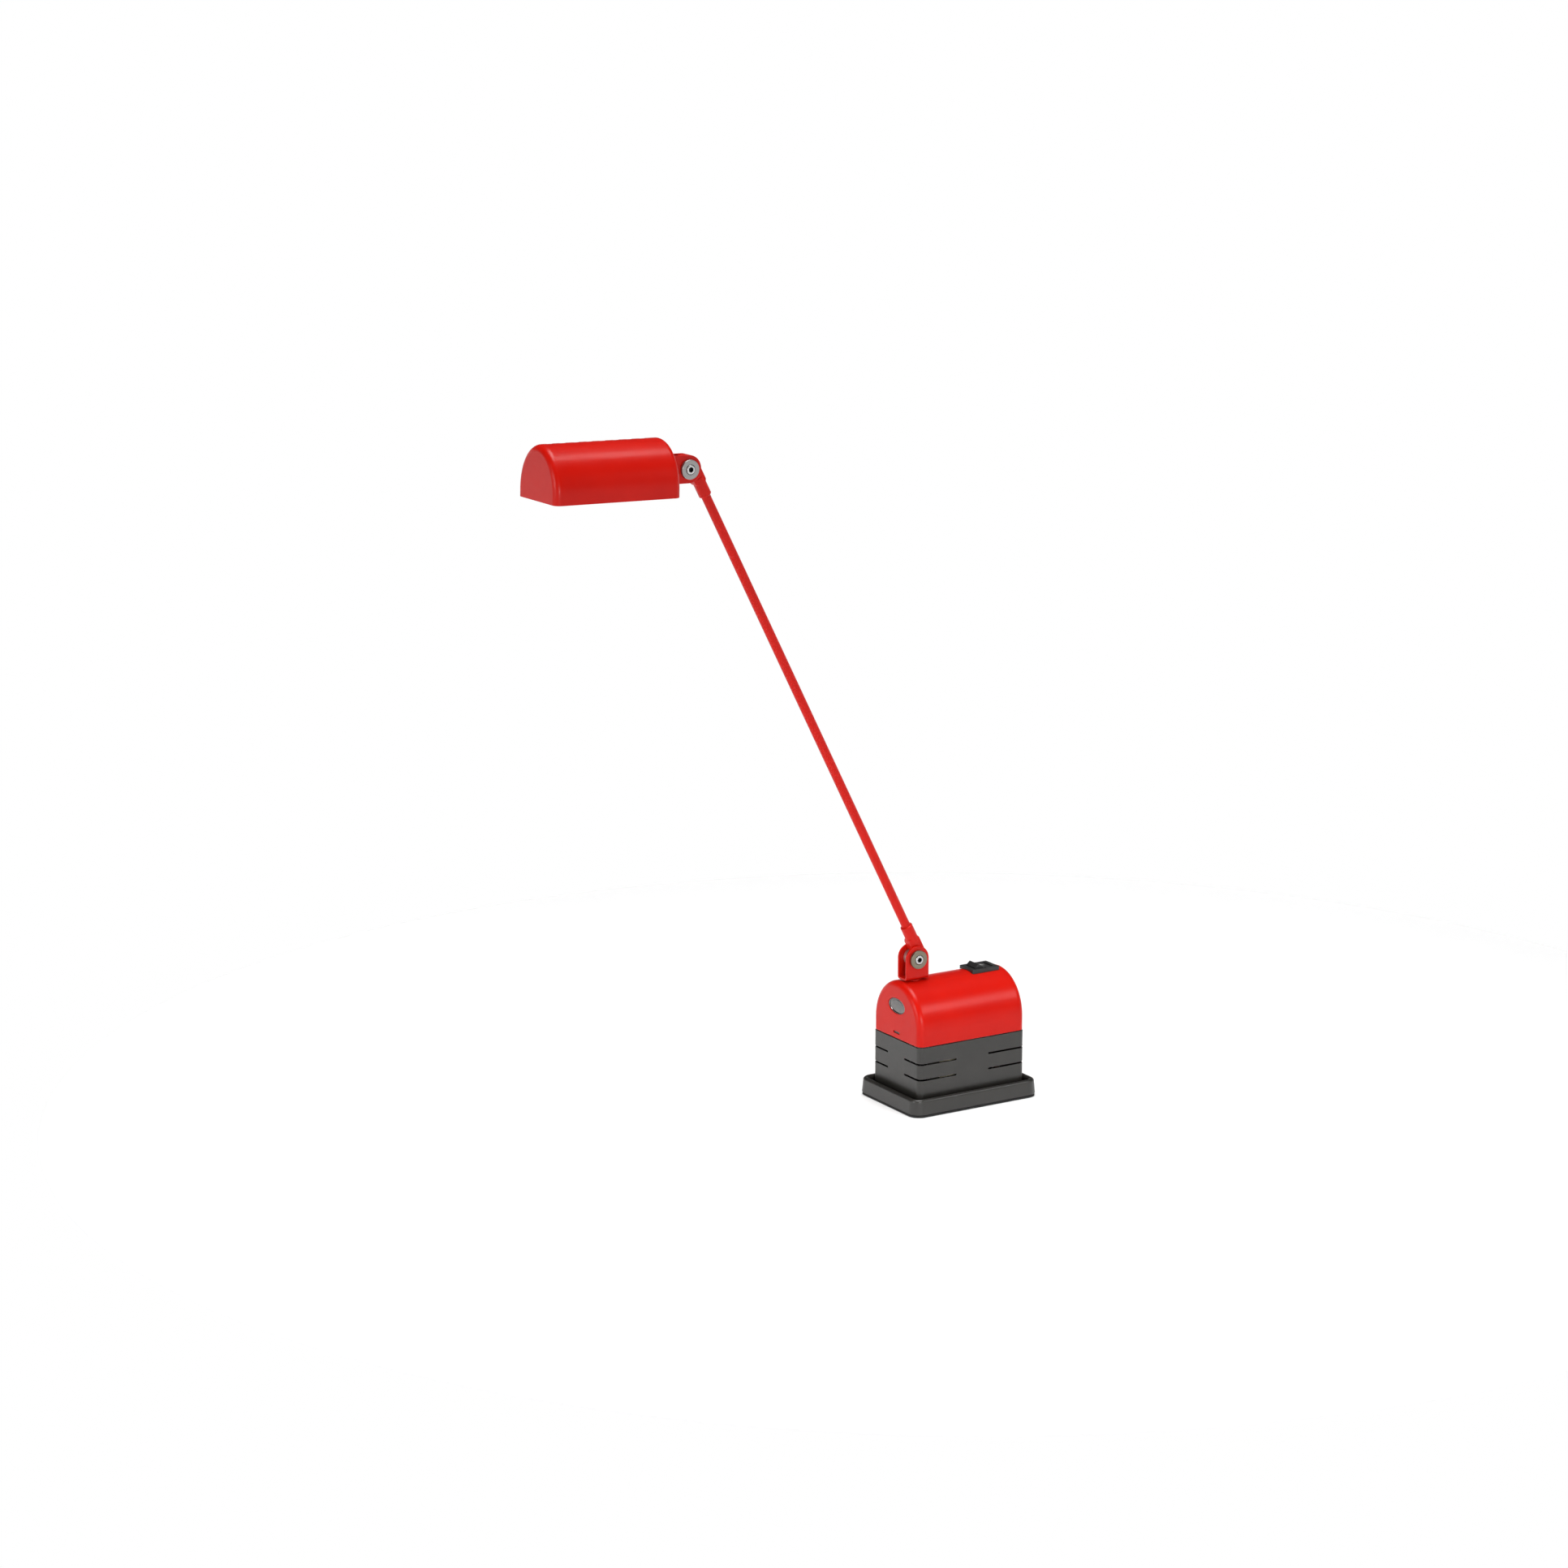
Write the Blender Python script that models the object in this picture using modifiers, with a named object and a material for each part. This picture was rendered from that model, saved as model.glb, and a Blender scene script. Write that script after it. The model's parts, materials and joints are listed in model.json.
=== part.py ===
"""Desk lamp: a transformer base under a red arched cover, one leaning tube arm and an arched red head.

Metres, +Z up. The origin is the middle of the base's underside, +X runs to the switch end of the
base and the arm leans to -X.
"""

import math

import bmesh
import bpy
from mathutils import Matrix, Vector

GAP = 0.0003
WALL = 0.0012
ARC_STEPS = 24
ROUND_STEPS = 28
BORE_STEPS = 20

MAT_THICKNESS = 0.002
MAT_INSET = 0.0004
MAT_HOLE = 0.0048
TRAY_LENGTH = 0.1412
TRAY_WIDTH = 0.1000
TRAY_CORNER = 0.0117
TRAY_HEIGHT = 0.017
TRAY_SHEET = 0.0015
TRAY_TAPER = 0.001
TRAY_BEND = 0.001
RIM_RADIUS = 0.0027
BOX_LENGTH = 0.119
BOX_WIDTH = 0.0798
BOX_CORNER = 0.0053
SEAM_HEIGHT = 0.0645
COVER_SPRING = 0.0778
COVER_TOP = 0.1196
COVER_END_ROUND = 0.0065

SLOT_HEIGHT = 0.0018
SLOT_LEVELS = (0.033, 0.048)
SLOT_ALONG_SIDE = 0.0416
SLOT_ALONG_END = 0.026
LATCH_HEIGHT = 0.0703
LATCH_SLOT = (0.010, 0.002)
CLIP_NOSE = (0.0094, 0.0014)
CLIP_WIDTH = 0.012
CLIP_BOTTOM = 0.050
CLIP_TOP = 0.072
CLIP_THICKNESS = 0.0008
CLIP_RECESS = 0.0009
BADGE_HEIGHT = 0.096
BADGE_WIDTH = 0.028
BADGE_TALL = 0.015
BADGE_SET_BACK = 0.0006
BADGE_LIP = 0.0015
BADGE_BACK = 0.001
GLAND_Y = 0.024
GLAND_HEIGHT = 0.020
GLAND_RADIUS = 0.0055
GLAND_BORE = 0.0035

CORE_LENGTH = 0.066
CORE_DEPTH = 0.034
CORE_HEIGHT = 0.055
LEG_WIDTH = 0.011
STRAP_THICKNESS = 0.0015
FOOT_LENGTH = 0.012
FOOT_SCREW_Y = 0.011
BOBBIN_WALL = 0.0012
BOBBIN_REACH = 0.020
NUT_HALF_FLATS = 0.0035
NUT_THICKNESS = 0.0032
TERMINAL_BLOCK = (0.009, 0.020, 0.014)
TERMINAL_BLOCK_Y = -0.012

SWITCH_X = 0.034
BEZEL_LENGTH = 0.0305
BEZEL_WIDTH = 0.023
BEZEL_THICKNESS = 0.002
SWITCH_BODY_LENGTH = 0.0246
SWITCH_BODY_WIDTH = 0.0204
SWITCH_BODY_DEPTH = 0.018
WELL_LENGTH = 0.0212
WELL_WIDTH = 0.0156
WELL_DEPTH = 0.010
SWITCH_PIN_RADIUS = 0.0012
ROCKER_BORE = 0.0015
ROCKER_FOOT = (0.0098, -0.0012)
ROCKER_CREST = (0.0073, 0.0032)
ROCKER_DIP = 0.0007
ROCKER_HALF_SWING = math.radians(15)

PIVOT_X = -0.041
PIVOT_Z = 0.1405
EAR_RADIUS = 0.0125
BRACKET_WIDTH = 0.015
BRACKET_SHEET = 0.002
BRACKET_BEND = 0.003
BASE_REACH = 0.0199
HEAD_REACH = 0.0185
SADDLE_RADIUS = 0.0065
BOLT_RADIUS = 0.0025
BOLT_HOLE = BOLT_RADIUS + GAP
SWIVEL_RADIUS = 0.002
SWIVEL_HOLE = SWIVEL_RADIUS + GAP
DISC_RADIUS = 0.0088
DISC_THICKNESS = 0.0028
DISC_RECESS_RADIUS = 0.0045
DISC_RECESS = 0.0016
BOLT_HEAD_RADIUS = 0.0041
BOLT_SOCKET_RADIUS = 0.0026
BOLT_NUT_HALF_FLATS = 0.0036
DRUM_RADIUS = 0.00775
DRUM_HALF_WIDTH = 0.0052

ARM_LEAN = math.radians(26.9)
ARM_REACH = 0.540
TUBE_OFFSET = 0.007
TUBE_RADIUS = 0.00425
TUBE_BORE = 0.00305
COLLAR_RADIUS = 0.0058
COLLAR_END = 0.0325
NECK_END = 0.017
TUBE_START = 0.0223
KNUCKLE_WIDTH = 0.010
KNUCKLE_FACE = 0.0006
CABLE_RADIUS = 0.0018

HEAD_TILT = math.radians(1.4)
HEAD_GAP = 0.0225
HEAD_LENGTH = 0.125
HEAD_HALF_WIDTH = 0.0349
HEAD_BOTTOM = -0.0204
HEAD_SPRING = -0.0135
HEAD_TOP = 0.0286
HEAD_END_ROUND = 0.0065
VENT_COUNT = 8
VENT_PITCH = 0.0131
VENT_LENGTH = 0.0075
VENT_SHIFT = -0.0023
VENT_SIDES = (0.0012, 0.0082)

REFLECTOR_START = 0.036
REFLECTOR_LENGTH = 0.104
REFLECTOR_HALF_WIDTH = 0.029
REFLECTOR_BOTTOM = -0.016
REFLECTOR_SPRING = -0.008
REFLECTOR_TOP = 0.020
REFLECTOR_WALL = 0.0008
REFLECTOR_END_ROUND = 0.004
POST_RADIUS = 0.0025
BULB_HEIGHT = 0.002
BULB_RADIUS = 0.0057
BULB_LENGTH = 0.022
PINCH_LENGTH = 0.009
HOLDER_LENGTH = 0.011
HOLDER_HALF_WIDTH = 0.008
HOLDER_HALF_HEIGHT = 0.005
PIN_SPACING = 0.00635
PIN_RADIUS = 0.0006
PIN_DEPTH = 0.006

# Colour, roughness and metallic value of each finish
FINISHES = {
    "red_paint": ((0.56, 0.004, 0.003), 0.36, 0.0),
    "black_steel": ((0.045, 0.042, 0.040), 0.45, 0.0),
    "black_plastic": ((0.018, 0.018, 0.018), 0.5, 0.0),
    "rubber": ((0.012, 0.012, 0.012), 0.85, 0.0),
    "bright_steel": ((0.55, 0.54, 0.52), 0.3, 1.0),
    "dark_chrome": ((0.20, 0.19, 0.19), 0.2, 1.0),
    "core_steel": ((0.40, 0.39, 0.37), 0.45, 1.0),
    "winding_tape": ((0.80, 0.76, 0.66), 0.5, 0.0),
    "white_plastic": ((0.75, 0.74, 0.70), 0.45, 0.0),
    "aluminium": ((0.85, 0.85, 0.86), 0.15, 1.0),
    "ceramic": ((0.82, 0.80, 0.75), 0.6, 0.0),
    "glass": ((0.90, 0.92, 0.93), 0.05, 0.0),
    "cable": ((0.10, 0.10, 0.10), 0.6, 0.0),
}

X_AXIS = Vector((1, 0, 0))
Y_AXIS = Vector((0, 1, 0))
Z_AXIS = Vector((0, 0, 1))
FACING_FRONT = (math.radians(90), 0, 0)
FACING_END = (math.radians(90), 0, math.radians(90))
AT_ORIGIN = (0, 0, 0)
FLAT = math.radians(0.5)

for old in list(bpy.data.objects):
    bpy.data.objects.remove(old)


def new_collection(name):
    collection = bpy.data.collections.new(name)
    bpy.context.scene.collection.children.link(collection)
    return collection


PARTS = new_collection("desk_lamp")
CUTTERS = new_collection("cutters")


# Outlines: lists of (x, y) points, counterclockwise


def arc(centre_x, centre_y, radius, start, end, steps):
    """Points on a circle from one angle to another, in degrees."""
    angles = [math.radians(start + (end - start) * i / steps) for i in range(steps + 1)]
    return [(centre_x + radius * math.cos(a), centre_y + radius * math.sin(a)) for a in angles]


def oval(width, height, steps=ROUND_STEPS):
    turns = [2 * math.pi * i / steps for i in range(steps)]
    return [(width / 2 * math.cos(t), height / 2 * math.sin(t)) for t in turns]


def circle(radius, centre_x=0, centre_y=0, steps=BORE_STEPS):
    return [(centre_x + x, centre_y + y) for x, y in oval(2 * radius, 2 * radius, steps)]


def rounded_rectangle(length, width, corner, steps=5):
    x = length / 2 - corner
    y = width / 2 - corner
    corners = ((x, y, 0), (-x, y, 90), (-x, -y, 180), (x, -y, 270))
    return [p for cx, cy, turn in corners for p in arc(cx, cy, corner, turn, turn + 90, steps)]


def arch(half_width, bottom, spring, top, offset=0.0):
    """Straight sides up to `spring`, then half an ellipse; `offset` grows it all round but below."""
    width = half_width + offset
    rise = top + offset - spring
    angles = [math.pi * i / ARC_STEPS for i in range(ARC_STEPS + 1)]
    curve = [(width * math.cos(a), spring + rise * math.sin(a)) for a in angles]
    return [(width, bottom), *curve, (-width, bottom)]


# Objects


def finish(name, kind):
    colour, roughness, metallic = FINISHES[kind]
    material = bpy.data.materials.new(f"{name}_{kind}")
    material.use_nodes = True
    shader = material.node_tree.nodes["Principled BSDF"]
    shader.inputs["Base Color"].default_value = (*colour, 1)
    shader.inputs["Roughness"].default_value = roughness
    shader.inputs["Metallic"].default_value = metallic
    return material


def place(name, mesh, kind, parent=None, location=AT_ORIGIN, rotation=AT_ORIGIN):
    """Makes a mesh an object in the lamp, or a cutter where it has no finish."""
    obj = bpy.data.objects.new(name, mesh)
    obj.parent = parent
    obj.location = location
    obj.rotation_euler = rotation
    if kind is None:
        CUTTERS.objects.link(obj)
        obj.hide_render = True
        obj.display_type = "WIRE"
        return obj
    PARTS.objects.link(obj)
    mesh.materials.append(finish(name, kind))
    mesh.shade_smooth()
    mesh.set_sharp_from_angle(angle=math.radians(35))
    return obj


def axis_at(name, location, turn_about_y=0.0, parent=None):
    """An empty that marks a joint and carries what moves on it."""
    empty = bpy.data.objects.new(name, None)
    PARTS.objects.link(empty)
    empty.parent = parent
    empty.location = location
    empty.rotation_euler = (0, turn_about_y, 0)
    return empty


def to_mesh(name, bm):
    bmesh.ops.recalc_face_normals(bm, faces=bm.faces)
    mesh = bpy.data.meshes.new(name)
    bm.to_mesh(mesh)
    bm.free()
    return mesh


def evaluated_mesh(name, data, modifier=None):
    """The closed mesh that a curve, or a profile with a modifier, makes."""
    source = bpy.data.objects.new(name, data)
    PARTS.objects.link(source)
    if modifier:
        modifier(source)
    graph = bpy.context.evaluated_depsgraph_get()
    mesh = bpy.data.meshes.new_from_object(source.evaluated_get(graph))
    bpy.data.objects.remove(source)
    bm = bmesh.new()
    bm.from_mesh(mesh)
    bmesh.ops.remove_doubles(bm, verts=bm.verts, dist=1e-6)
    return to_mesh(name, bm)


def add_loop(curve, points):
    spline = curve.splines.new("POLY")
    spline.points.add(len(points) - 1)
    for point, (x, y) in zip(spline.points, points):
        point.co = (x, y, 0, 1)
    spline.use_cyclic_u = True


def plate_mesh(name, outlines, thickness):
    """A flat outline, with any holes, that lies half above and half below its own XY plane."""
    curve = bpy.data.curves.new(name, "CURVE")
    curve.dimensions = "2D"
    curve.fill_mode = "BOTH"
    curve.extrude = thickness / 2
    for points in outlines:
        add_loop(curve, points)
    mesh = evaluated_mesh(name, curve)
    if len(outlines) == 1:
        bm = bmesh.new()
        bm.from_mesh(mesh)
        bmesh.ops.dissolve_limit(bm, angle_limit=FLAT, verts=bm.verts, edges=bm.edges)
        bm.to_mesh(mesh)
        bm.free()
    return mesh


def plate(name, outlines, thickness, kind, parent=None, location=AT_ORIGIN, rotation=AT_ORIGIN):
    return place(name, plate_mesh(name, outlines, thickness), kind, parent, location, rotation)


def slab(name, outlines, bottom, top, kind, parent=None):
    """A plate that lies flat between two heights."""
    return plate(name, outlines, top - bottom, kind, parent, (0, 0, (bottom + top) / 2))


def full_turn(obj):
    screw = obj.modifiers.new("turned", "SCREW")
    screw.steps = ROUND_STEPS
    screw.render_steps = ROUND_STEPS
    screw.use_merge_vertices = True
    screw.merge_threshold = 1e-6


def turned(name, profile, kind, parent=None, location=AT_ORIGIN, rotation=AT_ORIGIN, ring=False):
    """A profile of (radius, height) points spun about local Z; a ring's profile is a closed loop."""
    line = bpy.data.meshes.new(name)
    edges = [(i, i + 1) for i in range(len(profile) - 1)]
    if ring:
        edges.append((len(profile) - 1, 0))
    line.from_pydata([(radius, 0, height) for radius, height in profile], edges, [])
    return place(name, evaluated_mesh(name, line, full_turn), kind, parent, location, rotation)


def washer(name, outer, inner, bottom, top, kind, parent=None, location=AT_ORIGIN, rotation=AT_ORIGIN):
    profile = [(outer, top), (outer, bottom), (inner, bottom), (inner, top)]
    return turned(name, profile, kind, parent, location, rotation, ring=True)


def blocks(boxes):
    """Several boxes, each given by two opposite corners, in one mesh."""
    bm = bmesh.new()
    for low, high in boxes:
        low, high = Vector(low), Vector(high)
        size = Matrix.Diagonal((*(high - low), 1))
        bmesh.ops.create_cube(bm, size=1, matrix=Matrix.Translation((low + high) / 2) @ size)
    return bm


def rods(holes, steps=BORE_STEPS):
    """Several cylinders in one mesh, each given by centre, direction, radius and length."""
    bm = bmesh.new()
    for centre, direction, radius, length in holes:
        turn = Z_AXIS.rotation_difference(direction).to_matrix().to_4x4()
        bmesh.ops.create_cone(
            bm,
            cap_ends=True,
            segments=steps,
            radius1=radius,
            radius2=radius,
            depth=length,
            matrix=Matrix.Translation(centre) @ turn,
        )
    return bm


def combine(obj, other, operation):
    boolean = obj.modifiers.new(operation.lower(), "BOOLEAN")
    boolean.operation = operation
    boolean.solver = "EXACT"
    boolean.object = other
    return obj


def cut(obj, other):
    return combine(obj, other, "DIFFERENCE")


def cut_blocks(obj, boxes, parent=None):
    name = f"{obj.name}_cut_{len(obj.modifiers)}"
    return cut(obj, place(name, to_mesh(name, blocks(boxes)), None, parent))


def cut_holes(obj, holes, parent=None, steps=BORE_STEPS):
    name = f"{obj.name}_holes_{len(obj.modifiers)}"
    return cut(obj, place(name, to_mesh(name, rods(holes, steps)), None, parent))


def bevel(obj, width, segments=2, angle=50):
    modifier = obj.modifiers.new("bevel", "BEVEL")
    modifier.width = width
    modifier.segments = segments
    modifier.limit_method = "ANGLE"
    modifier.angle_limit = math.radians(angle)


def arched_shell(
    name, half_width, bottom, spring, top, length, wall, end_round, kind, parent, centre_x
):
    """An arch closed at both ends and open below, of one wall thickness."""
    below = bottom - 2 * end_round
    at = (centre_x, 0, 0)
    outer = arch(half_width, below, spring, top)
    shell = plate(name, [outer], length, kind, parent, at, FACING_END)
    bevel(shell, end_round, segments=4, angle=40)
    inner = arch(half_width, below - wall, spring, top, -wall)
    hollow = plate(f"{name}_hollow", [inner], length - 2 * wall, None, parent, at, FACING_END)
    bevel(hollow, end_round - wall, segments=4, angle=40)
    cut(shell, hollow)
    reach = length + half_width
    under = ((centre_x - reach, -reach, below - reach), (centre_x + reach, reach, bottom))
    cut_blocks(shell, [under], parent)
    return shell


# Base


def make_mat():
    outline = tray_outline(MAT_INSET)
    holes = [circle(MAT_HOLE, x, y) for x, y in screw_places()]
    slab("base_mat", [outline, *holes], 0, MAT_THICKNESS, "rubber")


def screw_places():
    x = CORE_LENGTH / 2 + STRAP_THICKNESS + FOOT_LENGTH / 2 + GAP
    return [(sx * x, sy * FOOT_SCREW_Y) for sx in (-1, 1) for sy in (-1, 1)]


def screw_holes(height, depth=0.01):
    return [(Vector((x, y, height)), Z_AXIS, SWIVEL_HOLE, depth) for x, y in screw_places()]


def tray_outline(inset):
    return rounded_rectangle(TRAY_LENGTH - 2 * inset, TRAY_WIDTH - 2 * inset, TRAY_CORNER - inset)


def make_tray():
    """A pressed pan whose walls lean in a little and whose edge is rolled inwards into a round rim."""
    bottom = MAT_THICKNESS + GAP
    rim_height = TRAY_HEIGHT - RIM_RADIUS
    rim_middle = TRAY_TAPER + RIM_RADIUS
    inside = TRAY_TAPER + TRAY_SHEET
    profile = [
        *arc(TRAY_BEND, bottom + TRAY_BEND, TRAY_BEND, 270, 180, 2),
        *arc(rim_middle, rim_height, RIM_RADIUS, 180, -60, 12),
        (inside, rim_height - RIM_RADIUS),
        *arc(inside + TRAY_BEND, bottom + TRAY_SHEET + TRAY_BEND, TRAY_BEND, 180, 270, 2),
    ]
    bm = bmesh.new()
    rings = []
    for inset, height in profile:
        rings.append([bm.verts.new((x, y, height)) for x, y in tray_outline(inset)])
    for first, second in zip(rings, rings[1:]):
        for i in range(len(first)):
            j = (i + 1) % len(first)
            bm.faces.new((first[i], first[j], second[j], second[i]))
    bm.faces.new(rings[0])
    bm.faces.new(rings[-1])
    tray = place("base_tray", to_mesh("base_tray", bm), "black_steel")
    cut_holes(tray, screw_holes(bottom))


def floor_height():
    return MAT_THICKNESS + TRAY_SHEET + 2 * GAP


def box_floor():
    return floor_height() + WALL


def make_housing():
    """A steel box, open above, with two rows of slots round each vertical corner."""
    outer = rounded_rectangle(BOX_LENGTH, BOX_WIDTH, BOX_CORNER)
    housing = slab("lower_housing", [outer], floor_height(), SEAM_HEIGHT - GAP, "black_steel")
    length = BOX_LENGTH - 2 * WALL
    width = BOX_WIDTH - 2 * WALL
    inner = rounded_rectangle(length, width, BOX_CORNER - WALL)
    cut(housing, slab("housing_pocket", [inner], box_floor(), SEAM_HEIGHT + WALL, None))
    slots = []
    for level in SLOT_LEVELS:
        for sx in (-1, 1):
            for sy in (-1, 1):
                near = (sx * (BOX_LENGTH / 2 - SLOT_ALONG_SIDE), sy * (BOX_WIDTH / 2 - SLOT_ALONG_END))
                far = (sx * (BOX_LENGTH / 2 + WALL), sy * (BOX_WIDTH / 2 + WALL))
                low = [min(pair) for pair in zip(near, far)] + [level - SLOT_HEIGHT / 2]
                high = [max(pair) for pair in zip(near, far)] + [level + SLOT_HEIGHT / 2]
                slots.append((low, high))
    cut_blocks(housing, slots)
    gland_hole = (Vector((BOX_LENGTH / 2, GLAND_Y, GLAND_HEIGHT)), X_AXIS, GLAND_RADIUS + GAP, 0.01)
    cut_holes(housing, [*screw_holes(floor_height()), gland_hole])


def make_gland():
    """A snap-in bush where the lead enters, with a flange on each side of the wall."""
    outside = [
        (GLAND_RADIUS + 0.002, 0.0025),
        (GLAND_RADIUS + 0.002, GAP),
        (GLAND_RADIUS, GAP),
        (GLAND_RADIUS, -WALL - GAP),
        (GLAND_RADIUS + 0.001, -WALL - GAP),
        (GLAND_RADIUS + 0.0002, -0.005),
        (GLAND_BORE, -0.005),
        (GLAND_BORE, 0.0045),
        (GLAND_BORE + 0.0015, 0.0045),
        (GLAND_BORE + 0.002, 0.0025),
    ]
    turned(
        "cable_gland",
        outside,
        "black_plastic",
        location=(BOX_LENGTH / 2, GLAND_Y, GLAND_HEIGHT),
        rotation=(0, math.radians(90), 0),
        ring=True,
    )


def cover_arch(offset):
    """The arch alone, grown by `offset`: what rests on the cover is cut to it."""
    return arch(BOX_WIDTH / 2, COVER_SPRING - 0.001, COVER_SPRING, COVER_TOP, offset)


def make_cover():
    cover = arched_shell(
        "dome_cover",
        BOX_WIDTH / 2,
        SEAM_HEIGHT + GAP,
        COVER_SPRING,
        COVER_TOP,
        BOX_LENGTH,
        WALL,
        COVER_END_ROUND,
        "red_paint",
        None,
        0,
    )
    half_cut_x = SWITCH_BODY_LENGTH / 2 + GAP
    half_cut_y = SWITCH_BODY_WIDTH / 2 + GAP
    switch_hole = (
        (SWITCH_X - half_cut_x, -half_cut_y, COVER_SPRING),
        (SWITCH_X + half_cut_x, half_cut_y, COVER_TOP + WALL),
    )
    half_slot = LATCH_SLOT[0] / 2
    slot_low = LATCH_HEIGHT - LATCH_SLOT[1] / 2
    slot_high = LATCH_HEIGHT + LATCH_SLOT[1] / 2
    end = BOX_LENGTH / 2
    front_slot = ((-end - WALL, -half_slot, slot_low), (-end + 2 * WALL, half_slot, slot_high))
    rear_slot = ((end - 2 * WALL, -half_slot, slot_low), (end + WALL, half_slot, slot_high))
    cut_blocks(cover, [switch_hole, front_slot, rear_slot])
    cut_holes(cover, [(Vector((PIVOT_X, 0, COVER_TOP)), Z_AXIS, SWIVEL_HOLE, 0.01)])
    badge_hole = plate(
        "badge_hole",
        [oval(BADGE_WIDTH, BADGE_TALL)],
        4 * WALL,
        None,
        location=(-end, 0, BADGE_HEIGHT),
        rotation=FACING_END,
    )
    cut(cover, badge_hole)


def make_badge():
    """A plain oval plug, set back a little in the end of the cover, with a wider back."""
    face = BOX_LENGTH / 2 - BADGE_SET_BACK
    inside = BOX_LENGTH / 2 - WALL - GAP
    overlap = 0.0004
    front = [oval(BADGE_WIDTH - 2 * GAP, BADGE_TALL - 2 * GAP)]
    middle = -(face + inside - overlap) / 2
    badge = plate(
        "end_badge",
        front,
        face - inside + overlap,
        "dark_chrome",
        location=(middle, 0, BADGE_HEIGHT),
        rotation=FACING_END,
    )
    back = plate(
        "badge_back",
        [oval(BADGE_WIDTH + 2 * BADGE_LIP, BADGE_TALL + 2 * BADGE_LIP)],
        BADGE_BACK,
        None,
        location=(-inside + BADGE_BACK / 2, 0, BADGE_HEIGHT),
        rotation=FACING_END,
    )
    combine(badge, back, "UNION")


def make_cover_clips():
    """A sprung steel tongue at each end of the box, with a nose that fills the cover's slot."""
    inner = BOX_LENGTH / 2 - WALL - GAP
    half_width = CLIP_WIDTH / 2
    half_nose, half_tall = CLIP_NOSE[0] / 2, CLIP_NOSE[1] / 2
    for name, side in (("front_cover_clip", -1), ("rear_cover_clip", 1)):
        xs = sorted((side * inner, side * (inner - CLIP_THICKNESS)))
        strip = ((xs[0], -half_width, CLIP_BOTTOM), (xs[1], half_width, CLIP_TOP))
        clip = place(name, to_mesh(name, blocks([strip])), "black_steel")
        xs = sorted((side * (BOX_LENGTH / 2 - CLIP_RECESS), side * (inner - CLIP_THICKNESS / 2)))
        nose_low = (xs[0], -half_nose, LATCH_HEIGHT - half_tall)
        nose_high = (xs[1], half_nose, LATCH_HEIGHT + half_tall)
        nose = (nose_low, nose_high)
        nose_name = f"{name}_nose"
        combine(clip, place(nose_name, to_mesh(nose_name, blocks([nose])), None), "UNION")


def core_bottom():
    return box_floor() + GAP


def make_transformer():
    """Laminated core with two windows, a bobbin on its middle leg, the winding, and a steel strap."""
    bottom = core_bottom()
    top = bottom + CORE_HEIGHT
    middle = (bottom + top) / 2
    window_half = CORE_HEIGHT / 2 - LEG_WIDTH
    half = CORE_LENGTH / 2
    half_tall = CORE_HEIGHT / 2
    frame = [(half, -half_tall), (half, half_tall), (-half, half_tall), (-half, -half_tall)]
    windows = []
    for side in (-1, 1):
        x = side * 1.5 * LEG_WIDTH
        window = [(x + dx, dz) for dx, dz in rounded_rectangle(LEG_WIDTH, 2 * window_half, 0.0005, 1)]
        windows.append(window)
    plate(
        "transformer_core",
        [frame, *windows],
        CORE_DEPTH,
        "core_steel",
        location=(0, 0, middle),
        rotation=FACING_FRONT,
    )

    hole_length = 2 * LEG_WIDTH + 2 * GAP
    hole_width = CORE_DEPTH + 2 * GAP
    sleeve_length = hole_length + 2 * BOBBIN_WALL
    sleeve_width = hole_width + 2 * BOBBIN_WALL
    low = middle - window_half + GAP
    high = middle + window_half - GAP
    hole = rounded_rectangle(hole_length, hole_width, 0.0002, 1)
    tube = rounded_rectangle(sleeve_length, sleeve_width, 0.001, 1)
    bobbin = slab("transformer_bobbin", [tube, hole], low, high, "white_plastic")
    flange = rounded_rectangle(4 * LEG_WIDTH - 4 * GAP, CORE_DEPTH + BOBBIN_REACH, 0.002, 2)
    flange_hole = rounded_rectangle(hole_length + BOBBIN_WALL, hole_width + BOBBIN_WALL, 0.0002, 1)
    for side, edge in (("low", low), ("high", high - BOBBIN_WALL)):
        ring = slab(f"bobbin_flange_{side}", [flange, flange_hole], edge, edge + BOBBIN_WALL, None)
        combine(bobbin, ring, "UNION")

    coil_outer = rounded_rectangle(4 * LEG_WIDTH - 0.003, CORE_DEPTH + BOBBIN_REACH - 0.002, 0.005, 4)
    coil_inner = rounded_rectangle(sleeve_length + 2 * GAP, sleeve_width + 2 * GAP, 0.001, 1)
    coil = [coil_outer, coil_inner]
    end_gap = BOBBIN_WALL + GAP
    slab("transformer_winding", coil, low + end_gap, high - end_gap, "winding_tape")

    inner = half + GAP
    outer = inner + STRAP_THICKNESS
    foot_end = outer + FOOT_LENGTH
    foot_top = bottom + STRAP_THICKNESS
    strap_in = top + GAP
    strap_out = strap_in + STRAP_THICKNESS
    right = [
        (inner, strap_in),
        (inner, bottom),
        (foot_end, bottom),
        (foot_end, foot_top),
        (outer, foot_top),
        (outer, strap_out),
    ]
    left = [(-x, z) for x, z in reversed(right)]
    strap = plate(
        "transformer_frame",
        [right + left],
        CORE_DEPTH - 0.004,
        "bright_steel",
        rotation=FACING_FRONT,
    )
    cut_holes(strap, screw_holes(bottom))


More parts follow.
